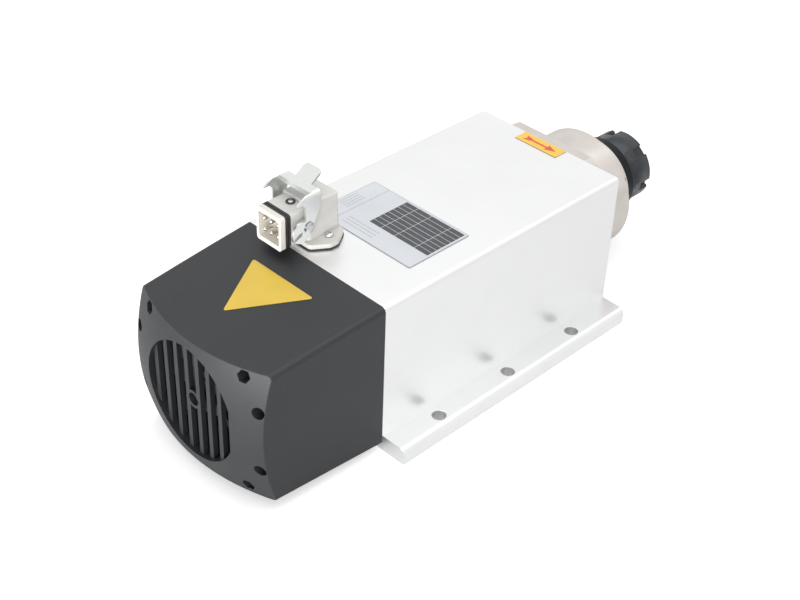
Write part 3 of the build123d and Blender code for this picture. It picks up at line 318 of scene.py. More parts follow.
@dataclass(frozen=True)
class AnodisedExtrusion(Finish):
    """Satin clear anodising over the faint die lines that run along an extrusion."""

    line_pitch: float = 0.7 * MM
    line_run: float = 160.0 * MM
    relief: float = 1.6e-6
    edge_radius: float = 0.35 * MM

    def paint(self, graph: Graph) -> None:
        """Draws die lines, etching and rubbed edges."""
        place = graph.place()
        across, along = 1.0 / self.line_pitch, 1.0 / self.line_run
        lines = graph.noise(graph.scaled(place, (across, along, across)), 1.0, 3.0, 0.6)
        etch = graph.noise(place, 2600.0)
        rounded, edges = graph.worn(self.edge_radius)
        base = self.clouded(graph.noise(place, 22.0, 3.0), 0.975, 1.0)
        base = graph.mix(lines.ramp(0.52, 0.78) * 0.35, base, self.tone(0.93))
        base = graph.mix(edges * 0.6, base, self.tone(1.06))
        rough = self.roughness + (lines - 0.5) * 0.10 + (etch - 0.5) * 0.08 - edges * 0.08
        normal = graph.bump(lines * 0.7 + etch * 0.3, self.relief, rounded)
        graph.surface(base, rough, normal, {"Metallic": 1.0})


@dataclass(frozen=True)
class MouldedPlastic(Finish):
    """Plastic from a spark-eroded mould: a fine even grain, a little shinier where it is handled."""

    roughness: float = 0.48
    grain: float = 0.6 * MM
    relief: float = 14e-6
    edge_radius: float = 0.4 * MM
    edge_gain: float = 1.7
    speckle: float = 2.3
    index: float = 1.45

    def paint(self, graph: Graph) -> None:
        """Draws the mould's grain, the flow of the plastic and rubbed edges."""
        place = graph.place()
        cells = {"Vector": place, "Scale": 1.0 / self.grain, "Smoothness": 0.6}
        pits = graph.node("ShaderNodeTexVoronoi", {"feature": "SMOOTH_F1"}, cells, "Distance")
        grain = graph.noise(place, 1.4 / self.grain, 3.0, 0.6)
        flow = graph.noise(graph.scaled(place, (1.0, 0.35, 1.0)), 34.0, 4.0)
        rounded, edges = graph.worn(self.edge_radius)
        base = self.clouded(flow, 0.9, 1.08, 0.32, 0.68)
        base = graph.mix(grain.ramp(0.5, 0.7) * 0.6, base, self.tone(self.speckle))
        base = graph.mix(edges * 0.5, base, self.tone(self.edge_gain))
        rough = self.roughness + (grain - 0.5) * 0.18 + (flow - 0.5) * 0.08 - edges * 0.1
        normal = graph.bump(pits * 0.5 + grain * 0.5, self.relief, rounded)
        graph.surface(base, rough, normal, {"IOR": self.index})


@dataclass(frozen=True)
class TurnedMetal(Finish):
    """Metal off a lathe: fine rings about the spindle axis, on faces and on cylinders alike."""

    ring_pitch: float = 0.28 * MM
    relief: float = 1.4e-6
    edge_radius: float = 0.25 * MM
    edge_gain: float = 1.15

    def paint(self, graph: Graph) -> None:
        """Draws the tool's rings, slow bands and a thin film."""
        radius, station = graph.about_axis()
        rings = graph.line_noise(radius + station, 1.0 / self.ring_pitch, 3.0)
        bands = graph.line_noise(radius * 0.8 + station, 170.0)
        film = graph.noise(graph.place(), 60.0, 4.0)
        rounded, edges = graph.worn(self.edge_radius)
        base = self.clouded(film, 0.94, 1.03)
        base = graph.mix(rings.ramp(0.55, 0.8) * 0.3, base, self.tone(0.88))
        base = graph.mix(edges * 0.8, base, self.tone(self.edge_gain))
        rough = self.roughness + (rings - 0.5) * 0.12 + (bands - 0.5) * 0.08 + (film - 0.5) * 0.06
        graph.surface(base, rough, graph.bump(rings, self.relief, rounded), {"Metallic": 1.0})


@dataclass(frozen=True)
class BlackOxide(Finish):
    """A blackened turned steel, with bright metal showing through where its edges are rubbed."""

    roughness: float = 0.36
    bare: float = 0.42
    ring_pitch: float = 0.32 * MM
    relief: float = 2.0e-6
    edge_radius: float = 0.3 * MM
    wear: float = 0.55

    def paint(self, graph: Graph) -> None:
        """Draws the tool's rings under a stained black skin."""
        radius, station = graph.about_axis()
        place = graph.place()
        rings = graph.line_noise(radius + station, 1.0 / self.ring_pitch)
        stain = graph.noise(place, 120.0, 5.0, 0.6)
        speck = graph.noise(place, 1700.0)
        rounded, edges = graph.worn(self.edge_radius)
        rubbed = edges * stain.ramp(0.38, 0.62) * self.wear
        base = graph.mix(rubbed, self.clouded(stain, 0.8, 1.2), (self.bare,) * 3)
        rough = self.roughness + (rings - 0.5) * 0.1 + (speck - 0.5) * 0.12 - rubbed * 0.12
        normal = graph.bump(rings * 0.6 + speck * 0.4, self.relief, rounded)
        graph.surface(base, rough, normal, {"Metallic": 0.72})


@dataclass(frozen=True)
class PlatedSteel(Finish):
    """Electroplated steel: a bright skin with a faint cloudy bloom and fine rolling scratches."""

    roughness: float = 0.24
    bloom: float = 0.16
    scratches: Point = (60.0, 2400.0, 2400.0)
    relief: float = 1.2e-6
    edge_radius: float = 0.2 * MM

    def paint(self, graph: Graph) -> None:
        """Draws the bloom and the scratches."""
        place = graph.place()
        bloom = graph.noise(place, 320.0, 4.0, 0.6)
        grain = graph.noise(graph.scaled(place, self.scratches), 1.0, 3.0)
        rounded, edges = graph.worn(self.edge_radius)
        base = self.clouded(bloom, 1.04 - self.bloom, 1.04)
        base = graph.mix(edges * 0.7, base, self.tone(1.2))
        rough = self.roughness + (bloom - 0.5) * self.bloom + (grain - 0.5) * 0.10
        graph.surface(base, rough, graph.bump(grain, self.relief, rounded), {"Metallic": 1.0})


@dataclass(frozen=True)
class CoatedCasting(Finish):
    """A die casting under a thin baked coat: soft orange peel with a little metal sparkle."""

    roughness: float = 0.4
    peel: float = 1.1 * MM
    relief: float = 16e-6
    edge_radius: float = 0.4 * MM

    def paint(self, graph: Graph) -> None:
        """Draws the orange peel and the metal dust in the coat."""
        place = graph.place()
        peel = graph.noise(place, 1.0 / self.peel)
        dust = graph.noise(place, 3400.0)
        rounded, edges = graph.worn(self.edge_radius)
        base = self.clouded(graph.noise(place, 70.0, 3.0), 0.95, 1.03)
        base = graph.mix(dust.ramp(0.56, 0.72) * 0.5, base, self.tone(0.86))
        base = graph.mix(edges * 0.4, base, self.tone(1.12))
        rough = self.roughness + (peel - 0.5) * 0.12 + (dust - 0.5) * 0.14
        normal = graph.bump(peel * 0.8 + dust * 0.2, self.relief, rounded)
        graph.surface(base, rough, normal, {"Metallic": 0.1})


@dataclass(frozen=True)
class Rubber(Finish):
    """Black moulded rubber with a dusty bloom."""

    roughness: float = 0.62
    relief: float = 12e-6
    edge_radius: float = 0.25 * MM

    def paint(self, graph: Graph) -> None:
        """Draws the bloom and the pores."""
        place = graph.place()
        bloom = graph.noise(place, 260.0, 5.0, 0.65)
        base = self.clouded(bloom, 1.0, 1.9, 0.4, 0.75)
        pores = graph.bump(graph.noise(place, 2800.0), self.relief, graph.rounded(self.edge_radius))
        graph.surface(base, self.roughness + (bloom - 0.5) * 0.2, pores)


@dataclass(frozen=True)
class Film(Finish):
    """A printed self-adhesive film: softly glossy, rippled by its glue, and dull along its cut edge,
    where painted shade darkens it.
    """

    roughness: float = 0.34
    metallic: float = 0.0
    coat: float = 0.25
    ripple: float = 30e-6
    cut_edge_shade: float = 0.3
    edge_radius: float = 0.1 * MM

    def paint(self, graph: Graph) -> None:
        """Draws the printed face, and the cut edge round it darkened by painted shade."""
        place = graph.place()
        ripple = graph.noise(place, 95.0)
        tooth = graph.noise(place, 3200.0)
        cloud = graph.noise(place, 38.0, 3.0)
        facing = graph.node("ShaderNodeNewGeometry", output="True Normal")
        face = abs(graph.parts(facing)[2]).ramp(0.3, 0.6)
        # Painted shade: the side faces take a darker tone, partly the grey of the cut glue edge and
        # partly a painted shadow line round the film.
        base = graph.mix(face, self.tone(self.cut_edge_shade), self.clouded(cloud, 0.96, 1.02))
        rough = self.roughness + (tooth - 0.5) * 0.1 + (cloud - 0.5) * 0.05 + (1.0 - face) * 0.4
        normal = graph.bump(ripple + tooth * 0.04, self.ripple, graph.rounded(self.edge_radius))
        gloss = {"Metallic": face * self.metallic, "Coat Weight": face * self.coat}
        graph.surface(base, rough, normal, {**gloss, "Coat Roughness": 0.2})


@dataclass(frozen=True)
class LaminatedStack(Finish):
    """Punched sheets seen edge on, each half a millimetre thick, with dark insulation between."""

    roughness: float = 0.36
    sheet: float = 0.5 * MM
    relief: float = 30e-6

    def paint(self, graph: Graph) -> None:
        """Draws the sheets and the seams between them."""
        _, station = graph.about_axis()
        sheets = graph.line_noise(station, 1.0 / self.sheet, 1.0)
        seam = station.wave(self.sheet).ramp(0.7, 1.0)
        base = graph.mix(seam, self.clouded(sheets, 0.75, 1.15, 0.35, 0.65), self.tone(0.3))
        normal = graph.bump(1.0 - seam, self.relief)
        graph.surface(base, self.roughness + sheets * 0.15, normal, {"Metallic": 1.0})


@dataclass(frozen=True)
class WoundCopper(Finish):
    """Varnished magnet wire: round strands side by side about the spindle axis."""

    strand: float = 0.9 * MM
    relief: float = 120e-6

    def paint(self, graph: Graph) -> None:
        """Draws the strands, with painted shade in the gaps between them."""
        radius, station = graph.about_axis()
        wander = graph.noise(graph.place(), 90.0, 3.0) * (3.0 * self.strand)
        strands = (radius + station + wander).wave(self.strand)
        # Painted shade: the gaps between the round strands are darkened.
        gap = strands.ramp(-1.0, -0.4, 1.0, 0.0)
        base = graph.mix(gap, self.colour, self.tone(0.3))
        varnish = {"Metallic": 0.85, "Coat Weight": 0.6}
        graph.surface(base, self.roughness + gap * 0.25, graph.bump(strands, self.relief), varnish)


class Slot(Enum):
    """The record's material slots."""

    ANODISED = "anodised_aluminium"
    COVER = "black_moulding"
    NICKEL = "nickelled_steel"
    OXIDE = "black_oxide"
    GROUND = "ground_steel"
    BEARING = "bearing_steel"
    ZINC = "zinc_screws"
    BLACK_SCREW = "black_screws"
    LAMINATION = "laminations"
    COPPER = "copper_windings"
    ROTOR = "rotor_aluminium"
    MACHINED = "machined_aluminium"
    SPRING = "spring_steel"
    FAN = "fan_plastic"
    CASTING = "diecast_grey"
    INSERT = "insert_plastic"
    PIN = "pin_alloy"
    RUBBER = "seal_rubber"
    LEVER = "lever_steel"
    FOIL = "nameplate_foil"
    ORANGE = "orange_label"
    YELLOW = "yellow_label"


FINISHES: Mapping[Slot, Finish] = {
    Slot.ANODISED: AnodisedExtrusion("anodised_extrusion", (0.862, 0.865, 0.868), 0.36),
    Slot.COVER: MouldedPlastic("black_moulded_cover", (0.020, 0.0212, 0.0235)),
    Slot.NICKEL: TurnedMetal("satin_nickel", (0.67, 0.625, 0.585), 0.33),
    Slot.OXIDE: BlackOxide("black_oxide", (0.047, 0.052, 0.058)),
    Slot.GROUND: TurnedMetal("ground_steel", (0.58, 0.58, 0.59), 0.2, 0.16 * MM, 0.8e-6),
    Slot.BEARING: TurnedMetal("bearing_steel", (0.66, 0.66, 0.67), 0.14, 0.12 * MM, 0.5e-6),
    Slot.ZINC: PlatedSteel("zinc_plate", (0.60, 0.61, 0.62)),
    Slot.BLACK_SCREW: BlackOxide("black_screw", (0.05, 0.052, 0.056), 0.33, 0.35),
    Slot.LAMINATION: LaminatedStack("laminations", (0.34, 0.34, 0.35)),
    Slot.COPPER: WoundCopper("varnished_copper", (0.52, 0.24, 0.11)),
    Slot.ROTOR: TurnedMetal("cast_rotor_ring", (0.66, 0.67, 0.68), 0.42, 0.6 * MM, 5e-6),
    Slot.MACHINED: TurnedMetal("machined_aluminium", (0.72, 0.73, 0.74), 0.3),
    Slot.SPRING: PlatedSteel("tempered_spring", (0.35, 0.35, 0.38), 0.3, 0.1),
    Slot.FAN: MouldedPlastic("fan_nylon", (0.028, 0.029, 0.032), 0.42, 0.7 * MM, 10e-6),
    Slot.CASTING: CoatedCasting("coated_casting", (0.69, 0.68, 0.65)),
    Slot.INSERT: MouldedPlastic(
        "contact_insert",
        (0.87, 0.84, 0.77),
        0.4,
        relief=6e-6,
        edge_radius=0.3 * MM,
        edge_gain=1.05,
        speckle=1.03,
        index=1.52,
    ),
    Slot.PIN: PlatedSteel("plated_contact", (0.78, 0.76, 0.72), 0.16),
    Slot.RUBBER: Rubber("seal_rubber", (0.021, 0.021, 0.022), 0.5),
    Slot.LEVER: PlatedSteel("lever_sheet_steel", (0.74, 0.76, 0.74), 0.3, 0.04),
    Slot.FOIL: Film("nameplate_foil", (0.69, 0.715, 0.755), 0.32, 0.45),
    Slot.ORANGE: Film("orange_film", (0.97, 0.60, 0.065)),
    Slot.YELLOW: Film("yellow_film", (0.76, 0.52, 0.05)),
}
# Painted shade: a near-black oxide on the slinger ring, standing for the dark crevice between the nose
# cap and the nut.
CREVICE_SHADE_OXIDE = BlackOxide("crevice_shade_black_oxide", (0.010, 0.011, 0.012), 0.42, 0.25)
# Painted shade: a dull dark finish for the zinc fan screw, standing for the shade it sits in behind the
# grille.
SHADED_SCREW_OXIDE = BlackOxide("shaded_screw_black_oxide", (0.03, 0.031, 0.033), 0.5, 0.2)


class Ink(Enum):
    """Printing inks, which aren't slots of their own."""

    RED = Film("red_ink", (0.74, 0.085, 0.05), 0.4, 0.0, 0.1)
    DARK = Film("dark_ink", (0.062, 0.067, 0.073), 0.5, 0.0, 0.05)
    GREY = Film("grey_ink", (0.36, 0.37, 0.39), 0.5, 0.0, 0.05)


class Wardrobe:
    """Makes each finish once, and dresses CAD nodes and new pieces in it."""

    def __init__(self) -> None:
        """Starts with nothing made."""
        self.made: dict[str, bpy.types.Material] = {}

    def get(self, finish: Finish) -> bpy.types.Material:
        """Gives a finish's material.

        Args:
            finish: The finish.

        Returns:
            The material, made on first use.
        """
        if finish.name not in self.made:
            self.made[finish.name] = finish.build()
        return self.made[finish.name]

    def dress(self, slot: Slot, *nodes: str) -> None:
        """Gives CAD nodes the finish of a slot."""
        self.cover(FINISHES[slot], *nodes)

    def cover(self, finish: Finish, *nodes: str) -> None:
        """Gives CAD nodes any finish.

        Args:
            finish: The finish.
            nodes: The nodes' names.
        """
        material = self.get(finish)
        for name in nodes:
            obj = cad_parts[name]
            if not obj.material_slots:
                obj.data.materials.append(material)
            for place in obj.material_slots:
                place.material = material
            LOG.info("dressed %s in %s", name, material.name)

    def publish(
        self,
        name: str,
        shape: BMesh,
        slot: Slot,
        replaced: str = "",
        body: str = "motor_body",
        finish: Optional[Finish] = None,
        crease: float = 32.0,
    ) -> None:
        """Turns a shape into a piece of the model.

        Args:
            name: The piece's name.
            shape: Its shape, used up here.
            slot: Its material slot.
            replaced: The CAD node that it stands for, if there is one.
            body: The body that it rides on.
            finish: Its finish, where that isn't its slot's own.
            crease: Edges sharper than this many degrees stay sharp.
        """
        mesh = meshed(name, shape)
        for polygon in mesh.polygons:
            polygon.use_smooth = True
        mesh.set_sharp_from_angle(angle=math.radians(crease))
        mesh.materials.append(self.get(finish or FINISHES[slot]))
        piece = add(name, mesh)
        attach(piece, body)
        if replaced:
            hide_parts(replaced)
        LOG.info("made %s, %d faces", name, len(mesh.polygons))


# ---------------------------------------------------------------- mesh tools
def add(name: str, data: bpy.types.ID) -> bpy.types.Object:
    """Puts an object into the scene.

    Args:
        name: Its name.
        data: Its mesh, lamp or camera.

    Returns:
        The object.
    """
    made = bpy.data.objects.new(name, data)
    bpy.context.scene.collection.objects.link(made)
    return made


def meshed(name: str, shape: BMesh) -> bpy.types.Mesh:
    """Turns a shape into a mesh.

    Args:
        name: The mesh's name.
        shape: The shape, used up here.

    Returns:
        The mesh.
    """
    mesh = bpy.data.meshes.new(name)
    shape.to_mesh(mesh)
    shape.free()
    return mesh


def copied(node: str) -> BMesh:
    """Copies a CAD node's shape at rest.

    Args:
        node: The node's name.

    Returns:
        The copy.
    """
    shape = bmesh.new()
    shape.from_mesh(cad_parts[node].data)
    return tidy(shape)


def corners(reach: Pair) -> list[Pair]:
    """The corners of a rectangle about (0, 0), from half its width and half its height."""
    return [(side * reach[0], level * reach[1]) for side in (-1, 1) for level in (-1, 1)]


def ring(radius: float, count: int, start_deg: float = 0.0) -> list[Pair]:
    """Points spaced evenly round (0, 0); 0 degrees points right and 90 up."""
    turns = [math.radians(start_deg + 360.0 * k / count) for k in range(count)]
    return [(radius * math.cos(t), radius * math.sin(t)) for t in turns]


class Facing(Enum):
    """Which way a piece that was made standing up along +Z is turned."""

    UP = 0.0
    FRONT = -90.0
    REAR = 90.0

    def at(self, x: float, y: float, z: float) -> Matrix:
        """Places a piece at millimetres to the right, towards the nose and up."""
        turn = Matrix.Rotation(math.radians(self.value), 4, "X")
        return Matrix.Translation(Vector((x, y, z)) * MM) @ turn

    def about_axis(self, station: float, spots: Iterable[Pair]) -> list[Matrix]:
        """Places pieces at millimetres to the right of the spindle axis and above it."""
        return [self.at(x, station, AXIS_HEIGHT / MM + z) for x, z in spots]


def lathe(profile: Sequence[Pair], steps: int) -> BMesh:
    """Turns a profile about Z.

    Args:
        profile: (height, radius) in millimetres, from the bottom to the top.
        steps: Facets round the axis.

    Returns:
        The turned shape, closed where the profile meets the axis.
    """
    shape = bmesh.new()
    verts = [shape.verts.new((radius * MM, 0.0, height * MM)) for height, radius in profile]
    edges = [shape.edges.new(pair) for pair in zip(verts, verts[1:])]
    bmesh.ops.spin(
        shape,
        geom=verts + edges,
        cent=(0.0, 0.0, 0.0),
        axis=(0.0, 0.0, 1.0),
        dvec=(0.0, 0.0, 0.0),
        angle=math.tau,
        steps=steps,
        use_merge=True,
    )
    return tidy(shape)


def tidy(shape: BMesh) -> BMesh:
    """Merges doubles and turns faces outwards.

    Args:
        shape: The shape.

    Returns:
        The same shape.
    """
    bmesh.ops.remove_doubles(shape, verts=shape.verts, dist=MERGE_DISTANCE)
    bmesh.ops.dissolve_degenerate(shape, edges=shape.edges, dist=MERGE_DISTANCE / 2)
    bmesh.ops.recalc_face_normals(shape, faces=shape.faces)
    return shape


def reshape(shape: BMesh, wanted: Callable[[BMVert], bool], radius: Callable[[float], float]) -> None:
    """Moves vertices to a new radius about Z that depends on their angle.

    Args:
        shape: The shape.
        wanted: Which vertices move.
        radius: Radius in metres for an angle in radians.
    """
    for vert in filter(wanted, shape.verts):
        angle = math.atan2(vert.co.y, vert.co.x)
        reach = radius(angle)
        vert.co.x, vert.co.y = reach * math.cos(angle), reach * math.sin(angle)


def arc(centre: Pair, radius: float, start_deg: float, end_deg: float, count: int) -> list[Pair]:
    """Points of an arc in a (height, radius) profile; 0 degrees points outwards and 90 up."""
    turns = [math.radians(start_deg + (end_deg - start_deg) * i / count) for i in range(count + 1)]
    return [(centre[0] + radius * math.sin(t), centre[1] + radius * math.cos(t)) for t in turns]


def repeated(unit: BMesh, places: Iterable[Matrix]) -> BMesh:
    """Puts a copy of a shape at each place.

    Args:
        unit: The shape, used up here.
        places: Where the copies go.

    Returns:
        One shape with every copy.
    """
    mesh = meshed("unit", unit)
    whole = bmesh.new()
    for place in places:
        before = len(whole.verts)
        whole.from_mesh(mesh)
        whole.verts.ensure_lookup_table()
        bmesh.ops.transform(whole, matrix=place, verts=whole.verts[before:])
    bpy.data.meshes.remove(mesh)
    return whole


@dataclass(frozen=True)
class Extent:
    """The box that a CAD node fills at rest, in millimetres."""

    low: Point
    high: Point

    @classmethod
    def of(cls, node: str) -> "Extent":
        """Reads a node's box from the frame."""
        low, high = (tuple(value / MM for value in corner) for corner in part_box(node))
        return cls(low, high)

    @property
    def middle(self) -> Point:
        """The box's centre."""
        return tuple((low + high) / 2 for low, high in zip(self.low, self.high))

    @property
    def size(self) -> Point:
        """The box's three sides."""
        return tuple(high - low for low, high in zip(self.low, self.high))


# ---------------------------------------------------------------- fasteners
def hexagon(flats: float) -> Callable[[float], float]:
    """The outline of a hexagon.

    Args:
        flats: Distance across its flats, in millimetres.

    Returns:
        Its radius in metres at an angle, with corners every 60 degrees from 0.
    """

    def radius(angle: float) -> float:
        """Radius at an angle."""
        off = (angle % math.radians(60.0)) - math.radians(30.0)
        return flats / 2 * MM / math.cos(off)

    return radius


@dataclass(frozen=True)
class SocketScrew:
    """A cap screw with a knurled head and a hexagon socket, standing on its seat.

    The sizes after its length are shares of its thread's diameter.
    """

    thread: float
    length: float
    core: float = 0.42
    lead: float = 0.08
    head: float = 0.75
    foot: float = 0.04
    rim: float = 0.1
    rim_steps: int = 4
    knurl_gap: float = 0.22
    knurl_depth: float = 0.035
    socket: float = 0.42
    socket_depth: float = 0.55
    mouth: Pair = (0.05, 0.07)
    drill_tip: float = 0.2
    steps: int = 72

    @property
    def head_radius(self) -> float:
        """The head's radius, in millimetres."""
        return self.head * self.thread

    def build(self) -> BMesh:
        """Makes one screw, head up."""
        d = self.thread
        head, socket = self.head_radius, self.socket * d
        deep, rim = self.socket_depth * d, self.rim * d
        profile = [
            (-self.length, 0.0),
            (-self.length, self.core * d),
            (-self.length + self.lead * d, 0.5 * d),
            (0.0, 0.5 * d),
            (0.0, head - self.foot * d),
            (self.foot * d, head),
            (d - self.knurl_gap * d, head),
            *arc((d - rim, head - rim), rim, 0.0, 90.0, self.rim_steps),
            (d, socket + self.mouth[1] * d),
            (d - self.mouth[0] * d, socket),
            (d - deep, socket),
            (d - deep - self.drill_tip * d, 0.0),
        ]
        shape = lathe(profile, self.steps)
        tolerance = 0.01 * MM
        reshape(
            shape,
            lambda v: abs(v.co.xy.length - socket * MM) < tolerance and v.co.z > 0.0,
            hexagon(2 * socket),
        )
        tooth = math.tau / self.steps

        def knurl(angle: float) -> float:
            """Every other facet stands back by the knurl's depth."""
            back = round(angle / tooth) % 2
            return (head - back * self.knurl_depth * d) * MM

        reshape(
            shape,
            lambda v: abs(v.co.xy.length - head * MM) < tolerance
            and 0.0 < v.co.z < (d - 2 * rim) * MM,
            knurl,
        )
        return tidy(shape)


@dataclass(frozen=True)
class PanScrew:
    """A domed pan head with a cross recess, standing on its seat.

    Its core and lead are shares of its thread's diameter, its waist of its head's height, and
    its flat and arms of its head's radius.
    """

    thread: float
    length: float
    head_radius: float
    head_height: float
    recess: float
    core: float = 0.42
    lead: float = 0.1
    waist: float = 0.35
    flank_step: int = 6
    flat: float = 0.5
    flat_rings: int = 12
    arm: float = 0.11
    arm_reach: float = 0.46
    arm_rise: float = 0.5
    steps: int = 64

    def build(self) -> BMesh:
        """Makes one screw, head up."""
        r, h = self.head_radius, self.head_height
        waist, rings = self.waist * h, self.flat_rings
        # The dome's flank goes in even turns, and its middle in rings fine enough for the recess.
        crown = [
            (waist + (h - waist) * math.cos(math.radians(t)), r * math.sin(math.radians(t)))
            for t in range(90, round(math.degrees(math.asin(self.flat))), -self.flank_step)
        ]
        inner = [
            (waist + (h - waist) * math.sqrt(1.0 - share**2), share * r)
            for share in (k / rings * self.flat for k in range(rings - 1, -1, -1))
        ]
        profile = [
            (-self.length, 0.0),
            (-self.length, self.thread * self.core),
            (-self.length + self.thread * self.lead, self.thread / 2),
            (0.0, self.thread / 2),
            (0.0, r),
            *crown,
            *inner,
        ]
        shape = lathe(profile, self.steps)
        arm, reach = self.arm * r * MM, self.arm_reach * r * MM
        for vert in shape.verts:
            x, y = abs(vert.co.x), abs(vert.co.y)
            if vert.co.z > waist * MM and min(x, y) < arm and max(x, y) < reach:
                vert.co.z -= self.recess * MM * (1.0 - self.arm_rise * max(x, y) / reach)
        return tidy(shape)


# ---------------------------------------------------------------- sub-assemblies
class SubAssembly(Protocol):
    """A group of pieces that is built and dressed together."""

    def build(self, wardrobe: Wardrobe) -> None:
        """Makes its pieces and dresses its nodes."""


@dataclass
class MotorBody:
    """The extruded housing with its stator, rotor, plates and labels."""

    columns: tuple[float, ...] = (-10.2, -0.2, 11.4, 28.1, 39.2)
    table_rear: float = -46.5
    table_front: float = -14.2
    rows: int = 8
    rule: float = 0.5
    border_inset: float = 0.25
    border_width: float = 0.2
    line_width: float = 0.3
    side_lines: tuple[float, ...] = (-38.2, -35.9, -33.6, -31.3)
    side_line_ends: Pair = (-46.0, -30.0)
    divider: float = -27.2
    foot_lines: tuple[float, ...] = (-57.4, -54.4, -51.4)
    foot_line_ends: Pair = (-22.0, 4.0)
    ink: float = 0.03
    sticker_thickness: float = 0.3
    sticker_tip: Pair = (-2.6, 3.5)
    arrow_half: tuple[Pair, ...] = (
        (13.3, 0.0),
        (5.0, 3.4),
        (5.7, 0.9),
        (-7.5, 0.9),
        (-7.5, 1.5),
        (-13.3, 2.8),
        (-11.4, 0.0),
    )

    def build(self, wardrobe: Wardrobe) -> None:
        """Dresses the housing and prints the plate and the label.

        Args:
            wardrobe: Where the finishes come from.
        """
        wardrobe.dress(Slot.ANODISED, "motor_housing")
        wardrobe.dress(Slot.LAMINATION, "stator_core", "rotor_core")
        wardrobe.dress(Slot.COPPER, "stator_windings")
        wardrobe.dress(Slot.ROTOR, "rotor_end_rings")
        wardrobe.dress(Slot.FOIL, "nameplate")
        wardrobe.dress(Slot.ORANGE, "arrow_label")
        wardrobe.publish("triangle_film", self.sticker(), Slot.YELLOW, "blank_triangle_sticker")
        dark, grey, red = Ink.DARK.value, Ink.GREY.value, Ink.RED.value
        wardrobe.publish("nameplate_table", self.table(), Slot.FOIL, finish=dark)
        wardrobe.publish("nameplate_border", self.border(), Slot.FOIL, finish=grey)
        wardrobe.publish("nameplate_lines", self.lines(), Slot.FOIL, finish=grey)
        wardrobe.publish("arrow_print", self.arrow(), Slot.ORANGE, finish=red)

    def sticker(self) -> BMesh:
        """The plain triangle, cut a little short and askew at its tip, as it was stuck on."""
        shape = copied("blank_triangle_sticker")
        extent = Extent.of("blank_triangle_sticker")
        slope = (extent.size[2] - self.sticker_thickness) / extent.size[1]
        aside, back = self.sticker_tip
        for vert in shape.verts:
            share = (extent.high[1] - vert.co.y / MM) / extent.size[1]
            vert.co += Vector((aside, back, back * slope)) * share * MM
        return shape

    def raised(self, shape: BMesh, plate: Extent) -> BMesh:
        """Gives flat faces the thickness of a print and lays them on a plate.

        Args:
            shape: Faces drawn at height 0, in metres.
            plate: What they lie on.

        Returns:
            The closed print.
        """
        made = bmesh.ops.extrude_face_region(shape, geom=shape.faces[:], use_keep_orig=True)
        moved = [item for item in made["geom"] if isinstance(item, BMVert)]
        bmesh.ops.translate(shape, vec=(0.0, 0.0, self.ink * MM), verts=moved)
        bmesh.ops.translate(shape, vec=(0.0, 0.0, plate.high[2] * MM), verts=shape.verts)
        return tidy(shape)

    def table(self) -> BMesh:
        """The blank ruled table: dark cells with light rules between them."""
        shape = bmesh.new()
        columns = len(self.columns) - 1
        bmesh.ops.create_grid(shape, x_segments=columns, y_segments=self.rows, size=0.5)
        depth = self.table_front - self.table_rear
        for vert in shape.verts:
            column = round((vert.co.x + 0.5) * columns)
            vert.co.x = self.columns[column] * MM
            vert.co.y = (self.table_rear + (vert.co.y + 0.5) * depth) * MM
        rims = bmesh.ops.inset_individual(shape, faces=shape.faces[:], thickness=self.rule / 2 * MM)
        bmesh.ops.delete(shape, geom=rims["faces"], context="FACES")
        return self.raised(shape, Extent.of("nameplate"))

    @staticmethod
    def sheet(shape: BMesh, low: Pair, high: Pair) -> list[BMFace]:
        """Draws one flat rectangle.

        Args:
            shape: What it is drawn in.
            low: Its lowest X and Y, in millimetres.
            high: Its highest X and Y.

        Returns:
            Its face.
        """
        middle = Matrix.Translation(((low[0] + high[0]) / 2 * MM, (low[1] + high[1]) / 2 * MM, 0.0))
        sides = Matrix.Diagonal(((high[0] - low[0]) * MM, (high[1] - low[1]) * MM, 1.0, 1.0))
        made = bmesh.ops.create_grid(shape, x_segments=1, y_segments=1, size=0.5, matrix=middle @ sides)
        return list({face for vert in made["verts"] for face in vert.link_faces})

    def border(self) -> BMesh:
        """The thin line round the plate."""
        shape = bmesh.new()
        plate, inset = Extent.of("nameplate"), self.border_inset
        low = (plate.low[0] + inset, plate.low[1] + inset)
        high = (plate.high[0] - inset, plate.high[1] - inset)
        middle = self.sheet(shape, low, high)
        width = self.border_width * MM
        bmesh.ops.inset_region(shape, faces=middle, thickness=width, use_boundary=True)
        bmesh.ops.delete(shape, geom=middle, context="FACES")
        return self.raised(shape, plate)

    def lines(self) -> BMesh:
        """The blank writing lines beside the table, and the rule that divides them from it."""
        shape = bmesh.new()
        plate, half = Extent.of("nameplate"), self.line_width / 2
        rear, front = self.side_line_ends
        for x in self.side_lines:
            self.sheet(shape, (x - half, rear), (x + half, front))
        left, right = self.foot_line_ends
        for y in self.foot_lines:
            self.sheet(shape, (left, y - half), (right, y + half))
        edge = self.border_inset + self.border_width
        low, high = plate.low[1] + 2 * edge, plate.high[1] - 2 * edge
        self.sheet(shape, (self.divider - half, low), (self.divider + half, high))
        return self.raised(shape, plate)

    def arrow(self) -> BMesh:
        """The feathered arrow, drawn as one half and mirrored."""
        shape = bmesh.new()
        label = Extent.of("arrow_label")
        shape.faces.new([shape.verts.new((x * MM, y * MM, 0.0)) for x, y in self.arrow_half])
        geom = shape.verts[:] + shape.edges[:] + shape.faces[:]
        bmesh.ops.mirror(shape, geom=geom, merge_dist=1e-6, axis="Y")
        centre = (label.middle[0] * MM, label.middle[1] * MM, 0.0)
        bmesh.ops.translate(shape, vec=centre, verts=shape.verts)
        return self.raised(shape, label)


